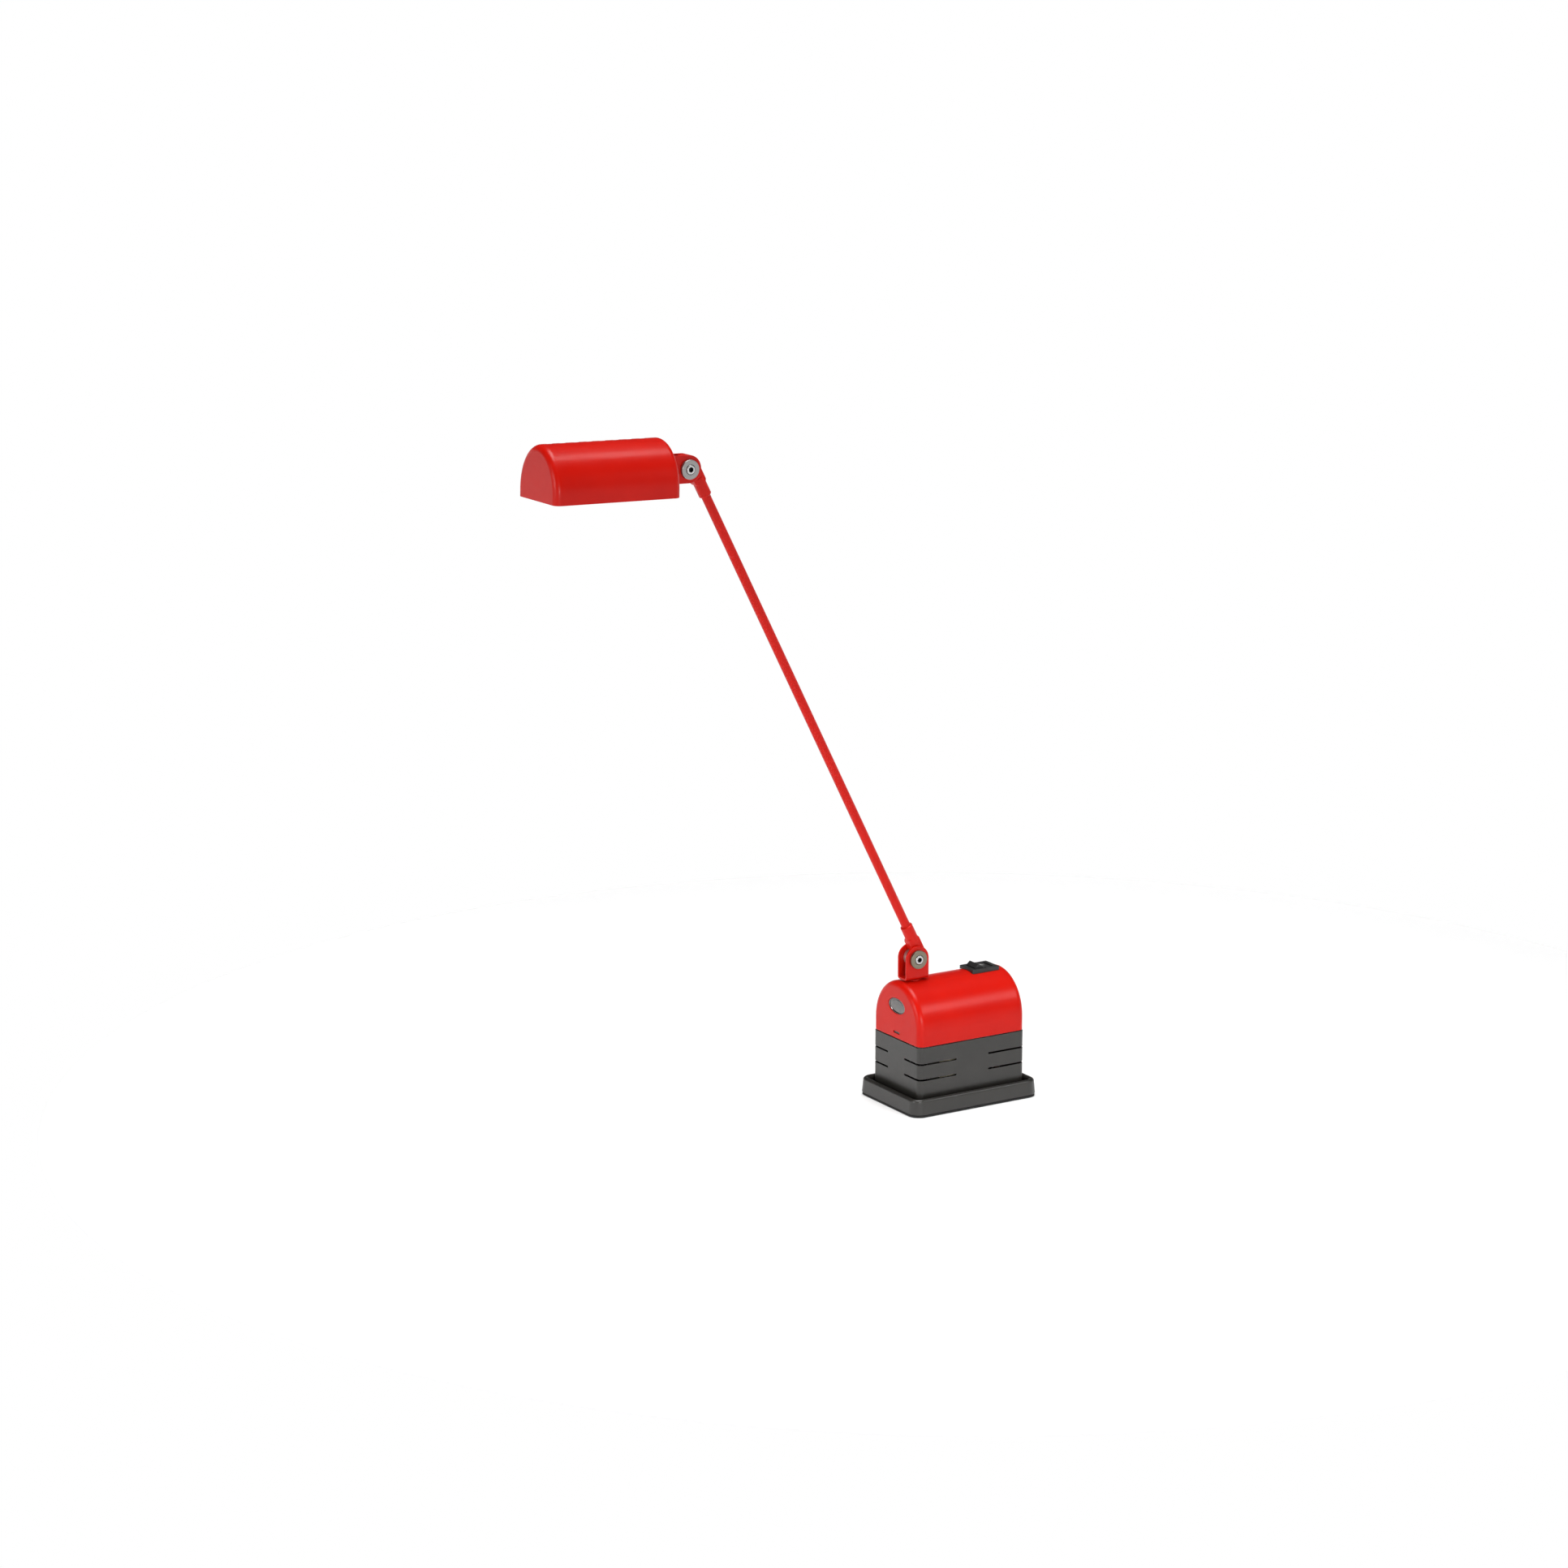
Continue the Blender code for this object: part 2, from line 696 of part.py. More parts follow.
def make_base_fasteners():
    """Four screws from below, through tray, box and strap, each with a hexagon nut."""
    head_top = MAT_THICKNESS
    shank_end = core_bottom() + STRAP_THICKNESS + NUT_THICKNESS + 0.0014
    profile = [
        (0, shank_end),
        (SWIVEL_RADIUS, shank_end),
        (SWIVEL_RADIUS, head_top),
        (0.004, head_top),
        (0.0035, GAP),
        (0, GAP),
    ]
    nut_bottom = core_bottom() + STRAP_THICKNESS + GAP
    for number, (x, y) in enumerate(screw_places(), 1):
        turned(f"base_screw_{number}", profile, "bright_steel", location=(x, y, 0))
        location = (x, y, nut_bottom + NUT_THICKNESS / 2)
        hexagon_nut(f"base_nut_{number}", NUT_HALF_FLATS, NUT_THICKNESS, SWIVEL_HOLE, None, location)


def hexagon_nut(name, half_flats, thickness, hole, parent, location, rotation=AT_ORIGIN):
    hexagon = circle(half_flats / math.cos(math.pi / 6), steps=6)
    plate(name, [hexagon, circle(hole, steps=12)], thickness, "bright_steel", parent, location, rotation)


def make_terminal_block():
    length, width, height = TERMINAL_BLOCK
    x = BOX_LENGTH / 2 - WALL - 0.002 - length / 2
    name = "terminal_block"
    low = (x - length / 2, TERMINAL_BLOCK_Y - width / 2, core_bottom())
    high = (x + length / 2, TERMINAL_BLOCK_Y + width / 2, core_bottom() + height)
    block = place(name, to_mesh(name, blocks([(low, high)])), "white_plastic")
    way_ys = (TERMINAL_BLOCK_Y - width / 4, TERMINAL_BLOCK_Y + width / 4)
    ways = [(Vector((x, y, high[2] - 0.002)), Z_AXIS, 0.0018, 0.01) for y in way_ys]
    cut_holes(block, ways, steps=12)
    bevel(block, 0.0005, 1)


# Switch


def make_switch():
    """A rocker in a box under a rectangular frame, whose underside follows the cover's arch."""
    top = COVER_TOP + GAP + BEZEL_THICKNESS
    pivot = top - 0.001
    frame = rounded_rectangle(BEZEL_LENGTH, BEZEL_WIDTH, 0.001, 2)
    frame = [(SWITCH_X + x, y) for x, y in frame]
    body = slab("switch_body", [frame], COVER_TOP - 0.004, top, "black_plastic")
    arch_cut = plate(
        "switch_arch",
        [cover_arch(GAP)],
        2 * BEZEL_LENGTH,
        None,
        location=(SWITCH_X, 0, 0),
        rotation=FACING_END,
    )
    cut(body, arch_cut)
    half_x = SWITCH_BODY_LENGTH / 2
    half_y = SWITCH_BODY_WIDTH / 2
    floor = COVER_TOP - SWITCH_BODY_DEPTH
    case = ((SWITCH_X - half_x, -half_y, floor), (SWITCH_X + half_x, half_y, top - 0.001))
    combine(body, place("switch_case", to_mesh("switch_case", blocks([case])), None), "UNION")
    well_low = (SWITCH_X - WELL_LENGTH / 2, -WELL_WIDTH / 2, top - WELL_DEPTH)
    well_high = (SWITCH_X + WELL_LENGTH / 2, WELL_WIDTH / 2, top + 0.002)
    tab_xs = (SWITCH_X - 0.006, SWITCH_X + 0.006)
    tab_holes = [
        ((x - 0.0007, -0.0035, floor - 0.001), (x + 0.0007, 0.0035, floor + 0.003)) for x in tab_xs
    ]
    cut_blocks(body, [(well_low, well_high), *tab_holes])
    half_pin = half_y - 0.0008
    pin_hole = (Vector((SWITCH_X, 0, pivot)), Y_AXIS, SWITCH_PIN_RADIUS + GAP, 2 * half_pin + 0.0008)
    cut_holes(body, [pin_hole], steps=16)

    for name, x in (("switch_terminal_1", tab_xs[0]), ("switch_terminal_2", tab_xs[1])):
        tab = ((x - 0.0004, -0.0032, floor - 0.008), (x + 0.0004, 0.0032, floor + 0.0025))
        place(name, to_mesh(name, blocks([tab])), "bright_steel")

    radius = SWITCH_PIN_RADIUS
    pin = [(0, half_pin), (radius, half_pin), (radius, -half_pin), (0, -half_pin)]
    turned("switch_pin", pin, "bright_steel", location=(SWITCH_X, 0, pivot), rotation=FACING_FRONT)

    rocker_axis = axis_at("rocker_axis", (SWITCH_X, 0, pivot), ROCKER_HALF_SWING)
    crest, rise = ROCKER_CREST
    foot, skirt = ROCKER_FOOT
    top_line = [(crest, rise), (0, ROCKER_DIP), (-crest, rise), (-foot, skirt)]
    outline = [*top_line, *arc(0, 0, 0.0045, 220, 320, 6), (foot, skirt)]
    plate(
        "switch_rocker",
        [outline, circle(ROCKER_BORE, steps=16)],
        WELL_WIDTH - 2 * GAP,
        "black_plastic",
        rocker_axis,
        rotation=FACING_FRONT,
    )


# The two U-brackets and their bolts. Each is built round its bolt: Z runs from the floor to the bolt


def make_bracket(name, parent, reach):
    """A U of sheet steel whose floor lies `reach` below the bolt and whose ears end in full rounds."""
    half = BRACKET_WIDTH / 2
    inside = half - BRACKET_SHEET
    bend = BRACKET_BEND
    small = bend - BRACKET_SHEET
    turn_z = bend - reach
    tall = EAR_RADIUS + 0.001
    outer = [
        *arc(-half + bend, turn_z, bend, 180, 270, 4),
        *arc(half - bend, turn_z, bend, 270, 360, 4),
    ]
    inner = [
        *arc(inside - small, turn_z, small, 0, -90, 3),
        *arc(-inside + small, turn_z, small, -90, -180, 3),
    ]
    outline = [*outer, (half, tall), (inside, tall), *inner, (-inside, tall), (-half, tall)]
    bracket = plate(name, [outline], 2 * EAR_RADIUS, "red_paint", parent, rotation=FACING_END)
    foot = -reach - 0.001
    side = [(-EAR_RADIUS, foot), (EAR_RADIUS, foot), *arc(0, 0, EAR_RADIUS, 0, 180, 20)]
    ears = plate(
        f"{name}_ears",
        [side, circle(BOLT_HOLE)],
        BRACKET_WIDTH + 0.002,
        None,
        parent,
        rotation=FACING_FRONT,
    )
    combine(bracket, ears, "INTERSECT")
    cut_holes(bracket, [(Vector((0, 0, -reach)), Z_AXIS, SWIVEL_HOLE, 0.01)], parent)


def make_bolt_set(prefix, parent):
    """Front and back discs against the ears, and a socket-head bolt with its nut."""
    inner = BRACKET_WIDTH / 2 + GAP
    outer = inner + DISC_THICKNESS
    recess_floor = outer - DISC_RECESS
    chamfer = 0.0004
    disc = [
        (DISC_RECESS_RADIUS, outer),
        (DISC_RADIUS - chamfer, outer),
        (DISC_RADIUS, outer - chamfer),
        (DISC_RADIUS, inner),
        (BOLT_HOLE, inner),
        (BOLT_HOLE, recess_floor),
        (DISC_RECESS_RADIUS, recess_floor),
    ]
    facing_back = (math.radians(-90), 0, 0)
    turned(f"{prefix}_front_disc", disc, "bright_steel", parent, rotation=FACING_FRONT, ring=True)
    turned(f"{prefix}_back_disc", disc, "bright_steel", parent, rotation=facing_back, ring=True)

    head_bottom = recess_floor + GAP
    head_top = outer + 0.0006
    end = -outer - 0.001
    profile = [
        (0, head_top),
        (BOLT_HEAD_RADIUS - chamfer, head_top),
        (BOLT_HEAD_RADIUS, head_top - chamfer),
        (BOLT_HEAD_RADIUS, head_bottom),
        (BOLT_RADIUS, head_bottom),
        (BOLT_RADIUS, end),
        (0, end),
    ]
    bolt = turned(f"{prefix}_bolt", profile, "bright_steel", parent, rotation=FACING_FRONT)
    socket = plate(
        f"{prefix}_socket",
        [circle(BOLT_SOCKET_RADIUS, steps=6)],
        0.003,
        None,
        parent,
        location=(0, -head_top, 0),
        rotation=FACING_FRONT,
    )
    cut(bolt, socket)
    nut_middle = head_bottom + 0.001
    name = f"{prefix}_nut"
    hexagon_nut(name, BOLT_NUT_HALF_FLATS, 0.002, BOLT_HOLE, parent, (0, nut_middle, 0), FACING_FRONT)


def make_swivel_set(prefix, parent, reach, wall_inside):
    """The screw through a bracket's floor, with a spring washer and a nut inside the wall."""
    floor_top = -reach + BRACKET_SHEET + GAP
    washer_top = wall_inside - GAP
    washer_bottom = washer_top - 0.0008
    nut_top = washer_bottom - GAP
    nut_bottom = nut_top - NUT_THICKNESS
    head = 0.0026
    profile = [
        (0, floor_top + head),
        (0.003, floor_top + head),
        (0.004, floor_top + head - 0.0008),
        (0.0042, floor_top),
        (SWIVEL_RADIUS, floor_top),
        (SWIVEL_RADIUS, nut_bottom - 0.001),
        (0, nut_bottom - 0.001),
    ]
    screw = turned(f"{prefix}_swivel_screw", profile, "bright_steel", parent)
    half_slot = 0.0005
    slot_low = floor_top + head - 0.0011
    slot_high = floor_top + head + 0.001
    across = ((-0.006, -half_slot, slot_low), (0.006, half_slot, slot_high))
    cut_blocks(screw, [across], parent)
    name = f"{prefix}_swivel_washer"
    washer(name, 0.0045, SWIVEL_HOLE, washer_bottom, washer_top, "bright_steel", parent)
    middle = (0, 0, (nut_top + nut_bottom) / 2)
    name = f"{prefix}_swivel_nut"
    hexagon_nut(name, NUT_HALF_FLATS, NUT_THICKNESS, SWIVEL_HOLE, parent, middle)


def make_saddle():
    """The seat between the bracket and the cover: flat above, arched below."""
    top = PIVOT_Z - BASE_REACH - GAP
    place_at = (PIVOT_X, 0, 0)
    saddle = washer(
        "swivel_saddle", SADDLE_RADIUS, SWIVEL_HOLE, top - 0.006, top, "red_paint", None, place_at
    )
    arch_cut = plate(
        "saddle_arch",
        [cover_arch(GAP)],
        4 * SADDLE_RADIUS,
        None,
        location=place_at,
        rotation=FACING_END,
    )
    cut(saddle, arch_cut)


# Arm, built along local Z from the lower bolt at the origin to the upper bolt


def knuckle_outline(base, way):
    """Side view of an end casting, from its bolt at height `base` towards the tube."""
    drum_cut = DRUM_RADIUS + GAP
    drum_angle = math.degrees(math.acos(KNUCKLE_FACE / drum_cut))
    end_angle = math.degrees(math.acos(KNUCKLE_FACE / EAR_RADIUS))
    shoulder = NECK_END + 0.0025
    points = [
        *arc(0, 0, drum_cut, -drum_angle, drum_angle, 16),
        (KNUCKLE_FACE, NECK_END),
        (KNUCKLE_FACE + 0.0014, shoulder),
        (EAR_RADIUS - 0.0011, shoulder),
        (EAR_RADIUS, NECK_END),
        *arc(0, 0, EAR_RADIUS, 0, -end_angle, 10),
    ]
    return [(x, base + way * z) for x, z in points]


def make_knuckle(name, arm, base, way):
    """A block beside the bolt with a round collar that holds the tube's end."""
    outline = knuckle_outline(base, way)
    knuckle = plate(name, [outline], KNUCKLE_WIDTH, "red_paint", arm, rotation=FACING_FRONT)
    bevel(knuckle, 0.0006, 2, angle=60)
    collar_start = NECK_END - 0.003
    centre = Vector((TUBE_OFFSET, 0, base + way * (collar_start + COLLAR_END) / 2))
    rod = rods([(centre, Z_AXIS, COLLAR_RADIUS, COLLAR_END - collar_start)], 24)
    combine(knuckle, place(f"{name}_collar", to_mesh("collar", rod), None, arm), "UNION")
    start = base + way * (TUBE_START - GAP)
    end = base + way * (COLLAR_END + 0.002)
    socket = (Vector((TUBE_OFFSET, 0, (start + end) / 2)), Z_AXIS, TUBE_RADIUS + GAP, abs(end - start))
    cut_holes(knuckle, [socket], arm)
    return knuckle


def make_arm(arm):
    make_knuckle("lower_knuckle", arm, 0, 1)
    make_knuckle("upper_knuckle", arm, ARM_REACH, -1)
    tube_end = ARM_REACH - TUBE_START
    offset = (TUBE_OFFSET, 0, 0)
    washer("arm_tube", TUBE_RADIUS, TUBE_BORE, TUBE_START, tube_end, "red_paint", arm, offset)
    low = TUBE_START + 0.002
    high = tube_end - 0.002
    cable = [(0, high), (CABLE_RADIUS, high), (CABLE_RADIUS, low), (0, low)]
    turned("arm_cable", cable, "cable", arm, offset)
    half = DRUM_HALF_WIDTH
    for name, height in (("lower_drum", 0), ("upper_drum", ARM_REACH)):
        centre = (0, 0, height)
        washer(name, DRUM_RADIUS, BOLT_HOLE, -half, half, "bright_steel", arm, centre, FACING_FRONT)


# Head, built round the upper bolt: local X points back along the head, so the shade lies at -X


def make_spacer(head):
    outer = -HEAD_REACH - GAP
    inner = -HEAD_GAP + GAP
    turn = (0, math.radians(90), 0)
    washer("head_spacer", SADDLE_RADIUS, SWIVEL_HOLE, inner, outer, "black_plastic", head, rotation=turn)


def make_shade(head):
    middle = -HEAD_GAP - HEAD_LENGTH / 2
    shade = arched_shell(
        "shade",
        HEAD_HALF_WIDTH,
        HEAD_BOTTOM,
        HEAD_SPRING,
        HEAD_TOP,
        HEAD_LENGTH,
        WALL,
        HEAD_END_ROUND,
        "red_paint",
        head,
        middle,
    )
    vents = []
    for number in range(VENT_COUNT):
        x = middle + VENT_SHIFT + (number - (VENT_COUNT - 1) / 2) * VENT_PITCH
        low = (x - VENT_LENGTH / 2, VENT_SIDES[0], HEAD_TOP - 0.004)
        high = (x + VENT_LENGTH / 2, VENT_SIDES[1], HEAD_TOP + 0.001)
        vents.append((low, high))
    cut_blocks(shade, vents, head)
    cut_holes(shade, [(Vector((-HEAD_GAP, 0, 0)), X_AXIS, SWIVEL_HOLE, 0.006)], head)


def make_reflector(head):
    reflector = arched_shell(
        "reflector",
        REFLECTOR_HALF_WIDTH,
        REFLECTOR_BOTTOM,
        REFLECTOR_SPRING,
        REFLECTOR_TOP,
        REFLECTOR_LENGTH,
        REFLECTOR_WALL,
        REFLECTOR_END_ROUND,
        "aluminium",
        head,
        -REFLECTOR_START - REFLECTOR_LENGTH / 2,
    )
    hole = (Vector((-REFLECTOR_START, 0, BULB_HEIGHT)), X_AXIS, 0.0018, 0.006)
    cut_holes(reflector, [hole], head, steps=12)
    low = REFLECTOR_TOP + GAP
    high = HEAD_TOP - WALL - GAP
    post = [(0, high), (POST_RADIUS, high), (POST_RADIUS, low), (0, low)]
    shade_middle = -HEAD_GAP - HEAD_LENGTH / 2
    for name, side in (("front_reflector_post", -1), ("rear_reflector_post", 1)):
        turned(name, post, "bright_steel", head, (shade_middle + side * 3 * VENT_PITCH, 0, 0))


def make_lamp(head):
    """Ceramic holder on the reflector's end wall, its screw, and a capsule on two pins."""
    wall = -REFLECTOR_START - REFLECTOR_WALL
    back = wall - GAP
    face = back - HOLDER_LENGTH
    pin_y = PIN_SPACING / 2
    low = (face, -HOLDER_HALF_WIDTH, BULB_HEIGHT - HOLDER_HALF_HEIGHT)
    high = (back, HOLDER_HALF_WIDTH, BULB_HEIGHT + HOLDER_HALF_HEIGHT)
    holder = place("lamp_holder", to_mesh("lamp_holder", blocks([(low, high)])), "ceramic", head)
    pin_holes = [
        (Vector((face, y, BULB_HEIGHT)), X_AXIS, PIN_RADIUS + GAP, 2 * PIN_DEPTH + 0.002)
        for y in (-pin_y, pin_y)
    ]
    screw_hole = (Vector((back, 0, BULB_HEIGHT)), X_AXIS, 0.0018, 0.010)
    cut_holes(holder, [*pin_holes, screw_hole], head, steps=12)
    bevel(holder, 0.0006, 1)

    along = (0, math.radians(90), 0)
    head_low = -REFLECTOR_START + GAP
    screw = [
        (0, head_low + 0.0015),
        (0.0027, head_low + 0.0015),
        (0.0027, head_low),
        (0.0015, head_low),
        (0.0015, back - 0.0045),
        (0, back - 0.0045),
    ]
    turned("holder_screw", screw, "bright_steel", head, (0, 0, BULB_HEIGHT), along)

    neck = face - 0.0012
    shoulder = neck - PINCH_LENGTH
    dome = shoulder - BULB_LENGTH + BULB_RADIUS
    body = [
        *[(-y, dome + x) for x, y in arc(0, 0, BULB_RADIUS, 180, 270, 6)],
        (BULB_RADIUS, shoulder),
        (0.0035, shoulder + 0.002),
        (0, shoulder + 0.002),
    ]
    body.reverse()
    capsule = turned("halogen_capsule", body, "glass", head, (0, 0, BULB_HEIGHT), along)
    low = (shoulder - 0.001, -0.0047, BULB_HEIGHT - 0.0017)
    high = (neck, 0.0047, BULB_HEIGHT + 0.0017)
    flat = place("capsule_pinch", to_mesh("capsule_pinch", blocks([(low, high)])), None, head)
    combine(capsule, flat, "UNION")
    pin_start = neck + GAP
    pin_end = face + PIN_DEPTH
    pin = [(0, pin_end), (PIN_RADIUS, pin_end), (PIN_RADIUS, pin_start), (0, pin_start)]
    for number, side in ((1, -1), (2, 1)):
        turned(f"capsule_pin_{number}", pin, "bright_steel", head, (0, side * pin_y, BULB_HEIGHT), along)


make_mat()
make_tray()
make_housing()
make_gland()
make_cover()
make_badge()
make_cover_clips()
make_transformer()
make_base_fasteners()
make_terminal_block()
make_switch()
make_saddle()

lower_bolt_axis = axis_at("lower_bolt_axis", (PIVOT_X, 0, PIVOT_Z))
make_bracket("base_bracket", lower_bolt_axis, BASE_REACH)
make_bolt_set("lower", lower_bolt_axis)
make_swivel_set("base", lower_bolt_axis, BASE_REACH, COVER_TOP - WALL - PIVOT_Z)

arm_axis = axis_at("arm_axis", AT_ORIGIN, -ARM_LEAN, lower_bolt_axis)
make_arm(arm_axis)

head_axis = axis_at("head_axis", (0, 0, ARM_REACH), ARM_LEAN + HEAD_TILT, arm_axis)
upper_bolt_axis = axis_at("upper_bolt_axis", AT_ORIGIN, math.radians(90), head_axis)
make_bracket("head_bracket", upper_bolt_axis, HEAD_REACH)
make_bolt_set("upper", upper_bolt_axis)
make_swivel_set("head", upper_bolt_axis, HEAD_REACH, -HEAD_GAP - WALL)

make_spacer(head_axis)
make_shade(head_axis)
make_reflector(head_axis)
make_lamp(head_axis)
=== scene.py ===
"""Looks of the desk lamp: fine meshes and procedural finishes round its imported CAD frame.

Metres, +Z up. The base stands on the floor at the origin, +X runs to its switch end and the arm leans to -X.
"""

import json
import math

import bmesh
import bpy
from mathutils import Matrix, Vector


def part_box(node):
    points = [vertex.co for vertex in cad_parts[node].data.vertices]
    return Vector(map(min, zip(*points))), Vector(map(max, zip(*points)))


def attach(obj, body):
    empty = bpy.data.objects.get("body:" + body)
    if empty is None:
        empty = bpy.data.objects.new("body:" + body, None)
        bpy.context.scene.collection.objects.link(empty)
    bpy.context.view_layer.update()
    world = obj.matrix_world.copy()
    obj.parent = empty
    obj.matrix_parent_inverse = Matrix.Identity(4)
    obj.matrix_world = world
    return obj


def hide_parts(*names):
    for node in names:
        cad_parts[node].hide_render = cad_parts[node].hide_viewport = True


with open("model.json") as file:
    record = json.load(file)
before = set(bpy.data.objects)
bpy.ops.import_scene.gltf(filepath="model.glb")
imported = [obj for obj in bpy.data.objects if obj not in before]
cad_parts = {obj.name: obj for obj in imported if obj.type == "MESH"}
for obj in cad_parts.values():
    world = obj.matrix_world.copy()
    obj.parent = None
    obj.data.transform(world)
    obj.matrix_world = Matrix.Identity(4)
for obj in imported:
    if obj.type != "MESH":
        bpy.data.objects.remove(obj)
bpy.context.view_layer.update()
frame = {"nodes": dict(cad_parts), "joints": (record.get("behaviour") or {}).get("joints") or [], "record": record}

RECORD = frame["record"]
JOINTS = {joint["name"]: joint for joint in frame["joints"]}
BODY_OF = {node: body for body, nodes in RECORD["behaviour"]["bodies"].items() for node in nodes}
SLOT_OF = {part["node"]: part["material_slot"] for part in RECORD["subparts"]}

# The photograph's camera: angles in degrees, lens on a 36 mm wide sensor
CAMERA_AZIMUTH = -31.53
CAMERA_ELEVATION = 13.12
CAMERA_DISTANCE = 3.74495
CAMERA_TARGET = Vector((-0.18294, 0, 0.32452))
CAMERA_LENS = 94.66

# The studio: between the heights of HORIZON_FADE, the white horizon fades to the surround's strength
FLOOR_RADIUS = 0.85
HORIZON_FADE = (0.04, 0.14)
SURROUND = 0.06

# Lengths are in metres and angles in degrees
GAP = 0.0003
OVERCUT = 0.003
ROUND_STEPS = 96
CAPSULE_STEPS = 48
CORNER_STEPS = 14
ARCH_STEPS = 120
END_ROUND_STEPS = 14
SHARP_ANGLE = 35

SHEET = 0.0012
SHEET_EDGE = 0.0004
SHEET_FLAT = 0.006
TRAY_CORNER = 0.0117
TRAY_RIM = 0.0027
TRAY_TAPER = 0.001
TRAY_BEND = 0.001
TRAY_SHEET = 0.0015
TRAY_CURL = -60
MAT_INSET = 0.0004
MAT_SCREW_HOLE = 0.0048
BOX_CORNER = 0.0053
BOX_BEND = 0.0018
SLOT_HEIGHT = 0.0018
SLOT_CORNER = 0.00081
SLOT_LEVELS = (0.033, 0.048)
SLOT_ALONG_SIDE = 0.0416
SLOT_ALONG_END = 0.026
COVER_SPRING = 0.0778
COVER_END_ROUND = 0.0065
LATCH_HEIGHT = 0.0703
LATCH_SLOT = (0.010, 0.002)
BADGE_HEIGHT = 0.096
BADGE_SIZE = (0.028, 0.015)
BADGE_LIP = 0.0015
BADGE_BACK = 0.0010
BADGE_EDGE = 0.0002
BADGE_GROOVE = 0.0005
BADGE_CROWN = 0.0006
GLAND_BORE = 0.0035
GLAND_NECK = 0.0055
SCREW_HOLE = 0.0023

BEZEL_CORNER = 0.0012
SWITCH_CASE = (0.0246, 0.0204)
SWITCH_WELL = (0.0212, 0.0156, 0.010)
SWITCH_CASE_DEPTH = 0.018
SWITCH_TAB_HOLE = (0.0014, 0.007)
SWITCH_PIN_HOLE = 0.0015
ROCKER_SWING = 15
ROCKER_CREST = 0.0069
ROCKER_RISE = 0.0032
ROCKER_ROUND = 0.0003
ROCKER_DIP = 0.0016
ROCKER_FOOT = (0.0098, -0.0012)
ROCKER_HOLLOW = 2.5
ROCKER_BELLY = 0.0045
MARK_SINK = 0.0003
MARK_PROUD = 0.0001
MARK_RING = (0.0014, 0.0010)
MARK_BAR = (0.0020, 0.0004)
MARK_SIDE = 0.0015

EAR_RADIUS = 0.0125
BRACKET_WIDTH = 0.015
BRACKET_SHEET = 0.002
BRACKET_BEND = 0.003
BASE_REACH = 0.0199
HEAD_REACH = 0.0185
BOLT_HOLE = 0.0028
DISC_RADIUS = 0.0088
DISC_THICKNESS = 0.0028
DISC_RECESS_RADIUS = 0.0045
DISC_RECESS = 0.0016
BOLT_RADIUS = 0.0025
BOLT_PROUD = 0.0006
BOLT_HEAD_RADIUS = 0.0041
BOLT_SOCKET_RADIUS = 0.0026
BOLT_SOCKET_DEPTH = 0.0024
DRUM_RADIUS = 0.00775
DRUM_HALF_WIDTH = 0.0052
SCREW_RADIUS = 0.002
SCREW_HEAD = (0.0042, 0.0026)
SCREW_SLOT = (0.0010, 0.0011)
SADDLE_DEPTH = 0.006

TUBE_OFFSET = 0.007
TUBE_RADIUS = 0.00425
TUBE_BORE = 0.00305
TUBE_START = 0.0223
COLLAR_RADIUS = 0.0058
COLLAR_END = 0.0325
NECK_END = 0.017
KNUCKLE_WIDTH = 0.010
KNUCKLE_FACE = 0.0006

HEAD_GAP = 0.0225
HEAD_LENGTH = 0.125
HEAD_HALF_WIDTH = 0.0349
HEAD_BOTTOM = -0.0204
HEAD_SPRING = -0.0135
HEAD_TOP = 0.0286
HEAD_END_ROUND = 0.0065
VENT_COUNT = 8
VENT_PITCH = 0.0131
VENT_LENGTH = 0.0075
VENT_SHIFT = -0.0023
VENT_SIDES = (0.0012, 0.0082)
VENT_REACH = 0.006
VENT_CORNER = 0.0012
REFLECTOR_START = 0.036
REFLECTOR_LENGTH = 0.104
REFLECTOR_HALF_WIDTH = 0.029
REFLECTOR_BOTTOM = -0.016
REFLECTOR_SPRING = -0.008
REFLECTOR_TOP = 0.020
REFLECTOR_WALL = 0.0008
REFLECTOR_END_ROUND = 0.004
HOLDER_SCREW_HOLE = 0.0018
HOLDER_SCREW_END = 0.0005
HOLDER_HALF_LENGTH = 0.0055
HOLDER_HALF_HEIGHT = 0.005
PIN_HALF_SPACING = 0.003175
PIN_HOLE = 0.0009
PIN_HOLE_DEPTH = 0.0075
CAPSULE_RADIUS = 0.0057
CAPSULE_LENGTH = 0.022
PINCH_LENGTH = 0.009
PINCH_HALF = (0.0017, 0.0047)

ALONG_X = Matrix.Rotation(math.radians(90), 4, "Z") @ Matrix.Rotation(math.radians(90), 4, "X")
FACING_FRONT = Matrix.Rotation(math.radians(90), 4, "X")
FACING_BACK = Matrix.Rotation(math.radians(-90), 4, "X")
AXIS_TO_X = Matrix.Rotation(math.radians(90), 4, "Y")


def joint_point(name):
    return Vector(JOINTS[name]["pos_m"])


def frame_at(origin, x_axis):
    """A placing in the X-Z plane whose own X runs along `x_axis`."""
    x_axis = Vector(x_axis).normalized()
    y_axis = Vector((0, 1, 0))
    z_axis = x_axis.cross(y_axis)
    turn = Matrix((x_axis, y_axis, z_axis)).transposed().to_4x4()
    return Matrix.Translation(origin) @ turn


